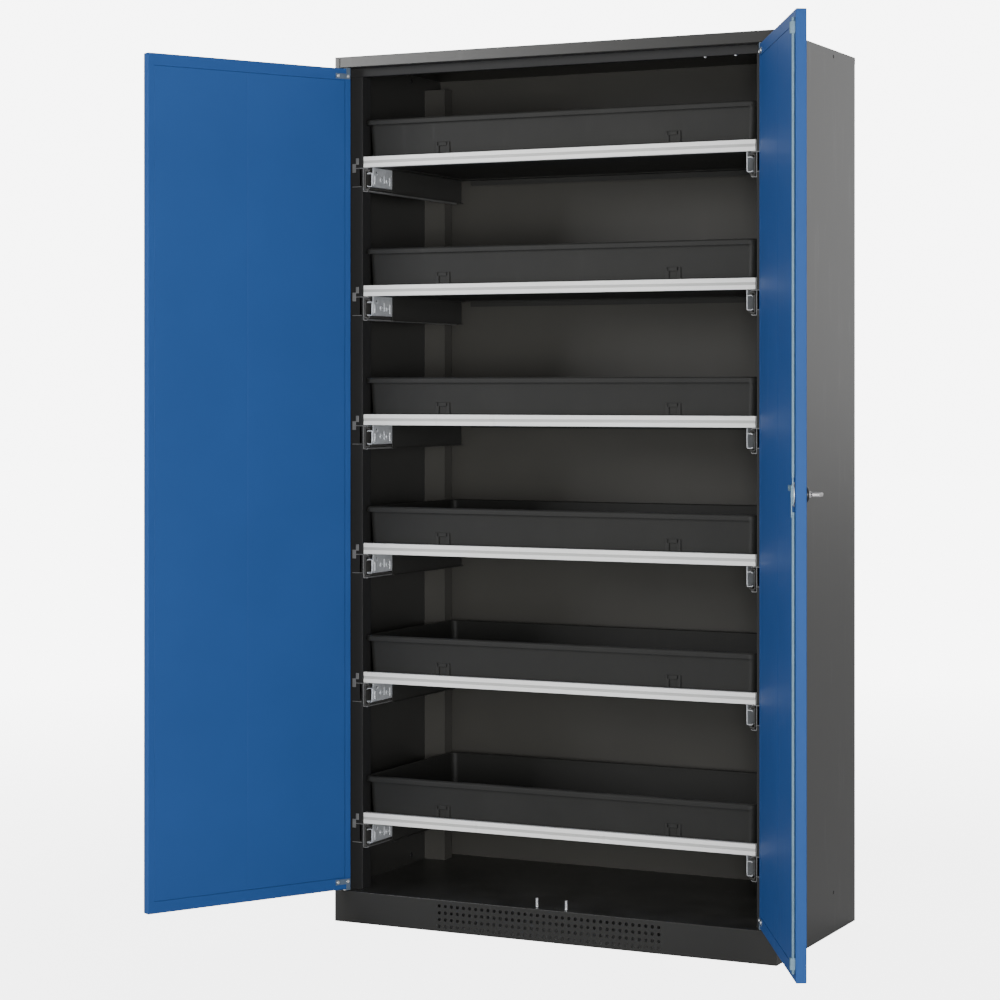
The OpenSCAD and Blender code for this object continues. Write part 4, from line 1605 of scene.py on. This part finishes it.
@dataclass
class SlideSet:
    """The three members of the telescopic slides, left and right, under one tray."""

    foot: float
    post_x: float = 472.5 * MM
    front: float = -228.5 * MM
    length: float = 444 * MM
    sheet: float = 1.5 * MM
    flange: float = 13 * MM
    web_step: float = 4.5 * MM
    width: float = 23 * MM
    drop: float = 28 * MM
    halves: Triple = (27 * MM, 21.5 * MM, 16 * MM)
    lip: float = 3.2 * MM
    bend: float = 2.6 * MM
    face_step: float = 2.5 * MM
    clip_bend: float = 0.5 * MM
    middle_inset: float = 1 * MM
    cage_length: float = 90 * MM
    cage_half: float = 2.6 * MM
    cage_strip: float = 0.5 * MM
    cage_bend: float = 0.35 * MM
    race: float = 1.95 * MM
    ball: float = 1.85 * MM
    pitch: float = 7.5 * MM
    bracket_length: float = 93 * MM
    bracket_drop: float = 40 * MM
    bracket_play: float = 0.6 * MM
    bracket_start: float = 3 * MM
    bracket_bend: float = 5 * MM
    bracket_slot: tuple[float, ...] = (51 * MM, 57 * MM, 33 * MM, 14 * MM)
    bracket_hole: Triple = (20 * MM, 12 * MM, 4.5 * MM)
    rib_rise: float = 1.6 * MM
    rib_bend: float = 1.3 * MM
    rib_ends: Point = (37 * MM, 18 * MM)

    def member(self, name: str, web: float, outward: int, half: float, inset: float = 0.0) -> Piece:
        """One roll-formed member on the right side: a web, two flanges and two ball-race lips.

        Args:
            name: The member's name.
            web: The web's outer plane.
            outward: 1 if the flanges reach to the right of the web, -1 if to the left.
            half: Half the member's height.
            inset: How much shorter it is at each end.

        Returns:
            The member.
        """
        middle = self.foot - self.drop
        tip = web + outward * self.flange
        path = [
            (tip, middle + half - self.lip),
            (tip, middle + half),
            (web, middle + half),
            (web, middle - half),
            (tip, middle - half),
            (tip, middle - half + self.lip),
        ]
        start, end = self.front + inset, self.front + self.length - inset
        return folded(name, path, Run.Y, start, end, self.bend, -self.sheet * outward)

    def outer(self) -> Piece:
        """The cabinet members, with the clips that hang them on the posts' faces."""
        member = self.member("outer", self.post_x, -1, self.halves[0])
        return on_both_sides(join("slide_outer", [member, *self.clips()]))

    def clips(self) -> list[Piece]:
        """The clips on the post's face, the bridge to the member and its turned front tab."""
        face, proud = self.front - self.face_step, self.sheet
        parts = []
        for inner, outer, low, high, ahead, behind in (
            (489.5, 498.0, -11.0, 8.5, face - proud, face),
            (482.0, 489.0, 7.0, 21.0, face - proud, face),
            (474.5, 498.0, -44.0, -42.4, face - proud, face),
            (471.0, 489.6, -2.4, -0.7, face - proud, self.front + 2 * MM),
            (470.7, 472.5, -52.0, -44.0, self.front, self.front + proud),
        ):
            clip = block(
                "clip",
                (inner * MM, ahead, self.foot + low * MM),
                (outer * MM, behind, self.foot + high * MM),
            )
            round_edges(clip, at_foot(1, ahead), self.clip_bend, 2)
            parts.append(clip)
        return parts

    def middle(self) -> Piece:
        """The middle members with their ball cages."""
        web = self.post_x - self.web_step
        member = self.member("middle", web, -1, self.halves[1], self.middle_inset)
        return on_both_sides(join("slide_middle", [member, *self.cages(web)]))

    def cages(self, web: float) -> list[Piece]:
        """The cage strips and the balls in them, above and below the middle member.

        Args:
            web: The middle member's outer plane.

        Returns:
            The cages and the balls.
        """
        stand_by()
        bpy.ops.mesh.primitive_ico_sphere_add(subdivisions=2, radius=self.ball)
        pattern = bpy.context.object
        outer_x = (web + self.post_x - self.flange) / 2
        inner_x = (web - self.flange + self.post_x - self.width + self.flange) / 2
        ahead = self.front + self.middle_inset
        back = self.front + self.length - self.middle_inset - self.cage_length
        parts = []
        for start in (ahead, back):
            for up in (-1, 1):
                for x, half in ((outer_x, self.halves[1]), (inner_x, self.halves[2])):
                    z = self.foot - self.drop + up * (half + self.race)
                    cage = block(
                        "cage",
                        (x - self.cage_half, start, z - self.cage_strip),
                        (x + self.cage_half, start + self.cage_length, z + self.cage_strip),
                    )
                    long = self.cage_length / 2
                    round_edges(cage, lambda a, b: abs(a.y - b.y) > long, self.cage_bend, 2)
                    parts.append(cage)
                    for step in range(int(self.cage_length / self.pitch)):
                        spot = Matrix.Translation((x, start + (step + 0.5) * self.pitch, z))
                        parts.append(copy_of(pattern, "ball", spot))
        discard(pattern)
        return parts

    def inner(self) -> Piece:
        """The tray members, with the bracket plate at the front that carries tray and rail."""
        web = self.post_x - self.width
        member = self.member("inner", web, 1, self.halves[2])
        return on_both_sides(join("slide_inner", [member, *self.bracket(web)]))

    def bracket(self, web: float) -> list[Piece]:
        """The bracket plate: rounded corners, a slot, a round hole, two pressed ribs and rivets.

        Args:
            web: The tray member's outer plane.

        Returns:
            The plate, its ribs and its rivets.
        """
        top, side = self.foot - self.bracket_play, web - self.sheet
        plate = block(
            "bracket",
            (side, self.front + self.bracket_start, top - self.bracket_drop),
            (web, self.front + self.bracket_length, top),
        )
        corners = at_foot(2, top - self.bracket_drop / 2)
        thick = self.sheet / 2
        with editing(plate, "EDGE"):
            pick_edges(lambda a, b: abs(a.x - b.x) > thick and corners(a, b))
            round_picked(self.bracket_bend, 4)
        start, end, low, high = self.bracket_slot
        through = 4 * SPARE
        slot = block(
            "slot",
            (web - through, self.front + start, top - low),
            (web + through, self.front + end, top - high),
        )
        ahead, down, radius = self.bracket_hole
        place = facing(Vector((1, 0, 0)), Vector((web - through, self.front + ahead, top - down)))
        cut(plate, [slot, bar("hole", radius, 2 * through, 24, place)])
        parts = [plate]
        low, high = self.rib_ends
        for ahead, wide in ((9.0, 7.0), (80.0, 8.0)):
            rib = block(
                "rib",
                (side - self.rib_rise, self.front + ahead * MM, top - low),
                (side, self.front + (ahead + wide) * MM, top - high),
            )
            round_edges(rib, at_foot(0, side - self.rib_rise), self.rib_bend, 3)
            parts.append(rib)
        for x, ahead, z, radius, rise in (
            (side, 40.0, top - 25 * MM, 6.0, 2.2),
            (side, 68.0, top - 27 * MM, 6.0, 2.2),
            (web, 430.0, self.foot - self.drop, 3.2, 1.1),
        ):
            spot = Vector((x, self.front + ahead * MM, z))
            parts.append(rivet("stud", spot, Vector((-1, 0, 0)), radius * MM, rise * MM))
        return parts


@dataclass
class TrayShell:
    """The moulded tray: tapered walls, rounded corners, a rolled rim and two pressed tabs."""

    foot: float
    wall_x: float = 465 * MM
    rim_x: float = 467.5 * MM
    wall: Point = (-217.5 * MM, 201.5 * MM)
    rim: Point = (-228 * MM, 212 * MM)
    lift: float = 1.5 * MM
    rise: float = 104 * MM
    rim_drop: float = 10 * MM
    draft: float = 5 * MM
    corner: float = 16 * MM
    foot_bend: float = 5 * MM
    rim_bends: Point = (2.4 * MM, 1.6 * MM)
    thick: float = 2 * MM
    tab_x: float = 277 * MM
    tab_width: float = 36 * MM
    tab_height: float = 26 * MM
    tab_leg: float = 9 * MM
    tab_proud: float = 3 * MM
    tab_foot: float = 25.5 * MM
    tab_bend: float = 1.2 * MM

    def build(self) -> Piece:
        """The tray."""
        base = self.foot + self.lift
        top = base + self.rise
        shell = block(
            "tray_moulded",
            (-self.wall_x, self.wall[0], base),
            (self.wall_x, self.wall[1], top),
        )
        middle_y, rim_y = sum(self.wall) / 2, sum(self.rim) / 2
        depth, rim_depth = self.wall[1] - self.wall[0], self.rim[1] - self.rim[0]
        taper = ((self.wall_x - self.draft) / self.wall_x, (depth - 2 * self.draft) / depth, 1)
        with editing(shell):
            pick_faces(lambda spot, way: way.z < -UPRIGHT)
            bpy.ops.transform.resize(value=taper, center_override=(0, middle_y, base))
            pick_faces(lambda spot, way: way.z > UPRIGHT)
            bpy.ops.mesh.delete(type="ONLY_FACE")
        with editing(shell, "EDGE"):
            pick_edges(lambda a, b: abs(a.z - b.z) > self.rise / 2)
            round_picked(self.corner, 6)
            pick_edges(at_foot(2, base))
            round_picked(self.foot_bend, 4)
            pick_edges(at_top(2, top))
            pull_edges((0, 0, 0))
            bpy.ops.transform.resize(
                value=(self.rim_x / self.wall_x, rim_depth / depth, 1),
                center_override=(0, middle_y, top),
            )
            bpy.ops.transform.translate(value=(0, rim_y - middle_y, 0))
            pull_edges((0, 0, -self.rim_drop))
        for inside, radius, segments in zip((False, True), self.rim_bends, (4, 3)):
            round_edges(shell, self.top_lines(top, inside), radius, segments)
        modify(shell, "SOLIDIFY", thickness=self.thick, offset=-1.0)
        settle(shell)
        return join(shell.name, [shell, *self.tabs()])

    def top_lines(self, top: float, inside: bool) -> Test:
        """A test that picks the top edges on the wall's line, or else on the rim's.

        Args:
            top: The tray's upper edge.
            inside: Whether the wall's line is meant.

        Returns:
            The test.
        """
        high = at_top(2, top)
        return lambda a, b: high(a, b) and self.on_wall(a) == self.on_wall(b) == inside

    def on_wall(self, spot: Vector) -> bool:
        """Whether a point at the top lies on the wall's line, rather than on the rim's."""
        slack = 0.3 * MM
        low, high = self.wall
        return abs(spot.x) < self.wall_x + slack and low - slack < spot.y < high + slack

    def tabs(self) -> list[Piece]:
        """The two raised arches on the front wall."""
        half, leg = self.tab_width / 2, self.tab_leg
        low = self.foot + self.tab_foot
        high = low + self.tab_height
        share = (low + self.tab_height / 2 - self.foot) / self.rise
        face = self.wall[0] + self.draft * (1 - share)
        parts = []
        for x in (-self.tab_x, self.tab_x):
            for left, right, foot in (
                (x - half, x - half + leg, low),
                (x + half - leg, x + half, low),
                (x - half + leg / 2, x + half - leg / 2, high - leg),
            ):
                arch = block(
                    "arch", (left, face - self.tab_proud, foot), (right, face + SPARE, high)
                )
                round_edges(arch, at_foot(1, face - self.tab_proud), self.tab_bend, 3)
                parts.append(settle(arch))
        return parts


@dataclass
class FrontRail:
    """The white rail across a tray's front: rounded edges, open at the back, a strip let in."""

    foot: float
    half: float = 469.5 * MM
    face: float = -231.5 * MM
    depth: float = 12 * MM
    height: float = 24.5 * MM
    wall: float = 2 * MM
    bend: float = 1.4 * MM
    channel_bend: float = 0.3 * MM
    channel: Point = (0.37, 0.63)
    channel_deep: float = 1.0 * MM
    strip_play: float = 0.15 * MM
    strip_end: float = 0.5 * MM
    strip_back: float = 0.35 * MM
    strip_rim: float = 1.2 * MM
    strip_hollow: float = 0.25 * MM
    strip_bend: float = 0.2 * MM
    smooth_below: float = 30.0

    def channel_edges(self) -> list[float]:
        """The heights of the channel's lower and upper edge."""
        return [self.foot + share * self.height for share in self.channel]

    def face_lines(self, *levels: float) -> Test:
        """A test that picks the face's long edges at some heights.

        Args:
            *levels: The heights.

        Returns:
            The test.
        """
        front = at_foot(1, self.face)
        return lambda a, b: (
            abs(a.x - b.x) > self.half
            and front(a, b)
            and min(abs(a.z - level) for level in levels) < TINY
        )

    def rail(self) -> Piece:
        """The rail."""
        rail = block(
            "rail_extruded",
            (-self.half, self.face, self.foot),
            (self.half, self.face + self.depth, self.foot + self.height),
        )
        low, high = self.channel_edges()
        with editing(rail):
            sink(lambda centre, way: way.y > UPRIGHT, self.wall, (0, self.wall - self.depth, 0))
        with editing(rail, "EDGE"):
            for edge in (low, high):
                slice_at((0, 0, edge), (0, 0, 1))
        with editing(rail):
            pick_faces(
                lambda centre, way: way.y < -UPRIGHT
                and centre.y < self.face + TINY
                and low < centre.z < high
            )
            pull((0, self.channel_deep, 0))
        round_edges(rail, self.face_lines(self.foot, self.foot + self.height), self.bend, 4)
        round_edges(rail, self.face_lines(low, high), self.channel_bend, 2)
        return settle(rail, self.smooth_below)

    def strip(self) -> Piece:
        """The strip that is pressed into the rail's channel, with a shallow hollow in its face."""
        low, high = self.channel_edges()
        end, front = self.half - self.strip_end, self.face + self.strip_back
        strip = block(
            "rail_strip",
            (-end, front, low + self.strip_play),
            (end, self.face + self.channel_deep, high - self.strip_play),
        )
        with editing(strip):
            sink(
                lambda centre, way: way.y < -UPRIGHT, self.strip_rim, (0, self.strip_hollow, 0)
            )
        round_edges(strip, at_foot(1, front), self.strip_bend, 2)
        return settle(strip, self.smooth_below)


@dataclass
class CarrierFrame:
    """The sheet frame under a tray: folded side plates on the slides, shelves and cross members."""

    foot: float
    plate_x: float = 449.5 * MM
    shelf: float = 27.5 * MM
    plate: Point = (-133.5 * MM, 215.5 * MM)
    front: float = -219.5 * MM
    drop: float = 54 * MM
    lip: float = 7 * MM
    cross: float = 30 * MM
    upright: float = 22.5 * MM
    rear_drop: float = 12 * MM
    shelf_bend: float = 3 * MM
    sheet: float = 1.5 * MM
    bend: float = 1.9 * MM

    def build(self) -> Piece:
        """The frame."""
        top, low = self.foot + self.sheet, self.foot - self.drop
        shelf_x, rear = self.plate_x - self.shelf, self.plate[1]
        side = folded(
            "side",
            [
                (shelf_x, top),
                (self.plate_x, top),
                (self.plate_x, low),
                (self.plate_x - self.lip, low),
            ],
            Run.Y, *self.plate, self.bend, self.sheet,
        )
        shelf = block(
            "shelf", (shelf_x, self.front, self.foot), (self.plate_x, self.plate[0], top)
        )
        ahead, upright = at_foot(1, self.front), self.sheet / 2
        with editing(shelf, "EDGE"):
            pick_edges(lambda a, b: abs(a.z - b.z) > upright and ahead(a, b))
            round_picked(self.shelf_bend, 4)
        sides = on_both_sides(join("sides", [side, shelf]))
        reach = self.plate_x - self.sheet
        front_angle = folded(
            "front_angle",
            [
                (self.front, self.foot + self.upright),
                (self.front, self.foot),
                (self.front + self.cross, self.foot),
            ],
            Run.X, -reach, reach, self.bend, self.sheet,
        )
        rear_angle = folded(
            "rear_angle",
            [(rear - self.cross, top), (rear, top), (rear, self.foot - self.rear_drop)],
            Run.X, -shelf_x, shelf_x, self.bend, -self.sheet,
        )
        return settle(join("carrier_folded", [sides, front_angle, rear_angle]))


@dataclass
class Drawers:
    """The six trays with their rails, carriers and slides: the lowest is copied for each."""

    shop: Paintshop

    def build(self) -> None:
        """Builds and dresses the drawers."""
        first = rail_foot(1)
        slides, rail = SlideSet(first), FrontRail(first)
        patterns = (
            # The cabinet members wear a dark copy of the zinc: painted shade.
            (slides.outer(), Finish.DULL, "carcass", "cabinet_slides"),
            # The middle members wear a near-black copy of the zinc: painted shade.
            (slides.middle(), Finish.OILED, "middle_{}", "middle_slides"),
            (slides.inner(), Finish.ZINC, "drawer_{}", "tray_slides"),
            (TrayShell(first).build(), Finish.TRAY, "drawer_{}", "tray"),
            (rail.rail(), Finish.RAIL, "drawer_{}", "front_rail"),
            # The strip in the rail's channel wears the grey copy of the rail's white: painted
            # shade.
            (rail.strip(), Finish.STRIP, "drawer_{}", ""),
            (CarrierFrame(first).build(), Finish.CARRIER, "drawer_{}", "carrier"),
        )
        for number in range(1, TRAYS + 1):
            lift = Matrix.Translation((0, 0, rail_foot(number) - first))
            for pattern, finish, body, node in patterns:
                piece = copy_of(pattern, f"{pattern.name}_{number}", lift)
                nodes = [f"{node}_{number}"] if node else []
                self.shop.dress(piece, finish, body.format(number), *nodes)
        for pattern, *_ in patterns:
            discard(pattern)


# ---------------------------------------------------------------- studio


@dataclass(frozen=True)
class Softbox:
    """A soft rectangular light: its place, what it faces, its size and its power in watts."""

    name: str
    spot: Triple
    aim: Triple
    size: Point
    power: float

    def hang(self) -> None:
        """Puts the light into the scene."""
        lamp = bpy.data.lights.new(self.name, "AREA")
        lamp.shape = "RECTANGLE"
        lamp.size, lamp.size_y = self.size
        lamp.energy = self.power
        way = Vector(self.aim) - Vector(self.spot)
        place(self.name, lamp, self.spot, way.to_track_quat("-Z", "Y").to_euler())


def place(name: str, data: bpy.types.ID, spot: Triple, turn: Sequence[float]) -> Piece:
    """Puts a light or a camera into the scene.

    Args:
        name: Its name.
        data: The light or the camera.
        spot: Where it goes.
        turn: Its Euler angles.

    Returns:
        The object that holds it.
    """
    holder = bpy.data.objects.new(name, data)
    bpy.context.scene.collection.objects.link(holder)
    holder.location = spot
    holder.rotation_euler = turn
    return holder


@dataclass
class Studio:
    """The floor, the light and the camera of the photograph."""

    shop: Paintshop
    eye: Triple = (2.370, -5.362, 1.200)
    heading: float = 25.95
    lens: float = 93.3
    sensor: float = 36.0
    shift_y: float = -0.1106
    turn: Point = (-0.2, 0.7)
    glow: Point = (0.25, 1.3)
    white: float = 6.0
    lights: tuple[Softbox, ...] = (
        Softbox("left_softbox", (-4.45, -6.0, 2.75), (0, 0, 1.2), (1.8, 2.0), 225),
        Softbox("front_softbox", (3.9, -6.0, 1.1), (0, 0, 0.8), (3.4, 2.6), 235),
        Softbox("eye_softbox", (2.5, -5.7, 1.0), (0, 0, 1.0), (0.9, 0.9), 120),
    )

    def build(self) -> None:
        """Builds the studio."""
        self.floor()
        self.world()
        for light in self.lights:
            light.hang()
        self.camera()

    def floor(self) -> None:
        """The pale floor."""
        stand_by()
        bpy.ops.mesh.primitive_plane_add(size=60, location=(0, 0, -0.5 * MM))
        floor = bpy.context.object
        floor.name = "studio_floor"
        floor.data.materials.append(StudioFloor().material(self.shop.effects))

    def world(self) -> None:
        """A white surround, whose light comes more from behind the cabinet than from the front."""
        world = bpy.data.worlds.new("studio")
        bpy.context.scene.world = world
        world.use_nodes = True
        tree = Tree(world.node_tree)
        surround = world.node_tree.nodes["Background"].inputs
        tree.give(surround["Color"], (1.0, 1.0, 1.0, 1.0))
        way = tree.split(tree.node("ShaderNodeTexCoord").outputs["Generated"])
        glow = tree.spread(way["Y"], *self.turn, self.glow)
        tree.give(surround["Strength"], tree.sums("MULTIPLY_ADD", tree.seen(), self.white, glow))

    def camera(self) -> None:
        """The camera at the photograph's place."""
        lens = bpy.data.cameras.new("photo_camera")
        lens.lens = self.lens
        lens.sensor_width = self.sensor
        lens.shift_y = self.shift_y
        lens.clip_end = 100
        turn = (math.radians(90), 0, math.radians(self.heading))
        bpy.context.scene.camera = place("photo_camera", lens, self.eye, turn)


def main() -> None:
    """Builds the cabinet around the frame, then the studio."""
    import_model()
    stand_by()
    shop = Paintshop()
    screws = Fastener()
    Carcass(shop, screws).build()
    left = DoorLeaf(shop, screws, Side.LEFT, 119.0)
    right = DoorLeaf(shop, screws, Side.RIGHT, 118.0)
    left.build()
    right.build()
    RodLock(shop, right).build()
    Drawers(shop).build()
    discard(screws.pattern)
    Studio(shop).build()


if __name__ == "__main__":
    main()
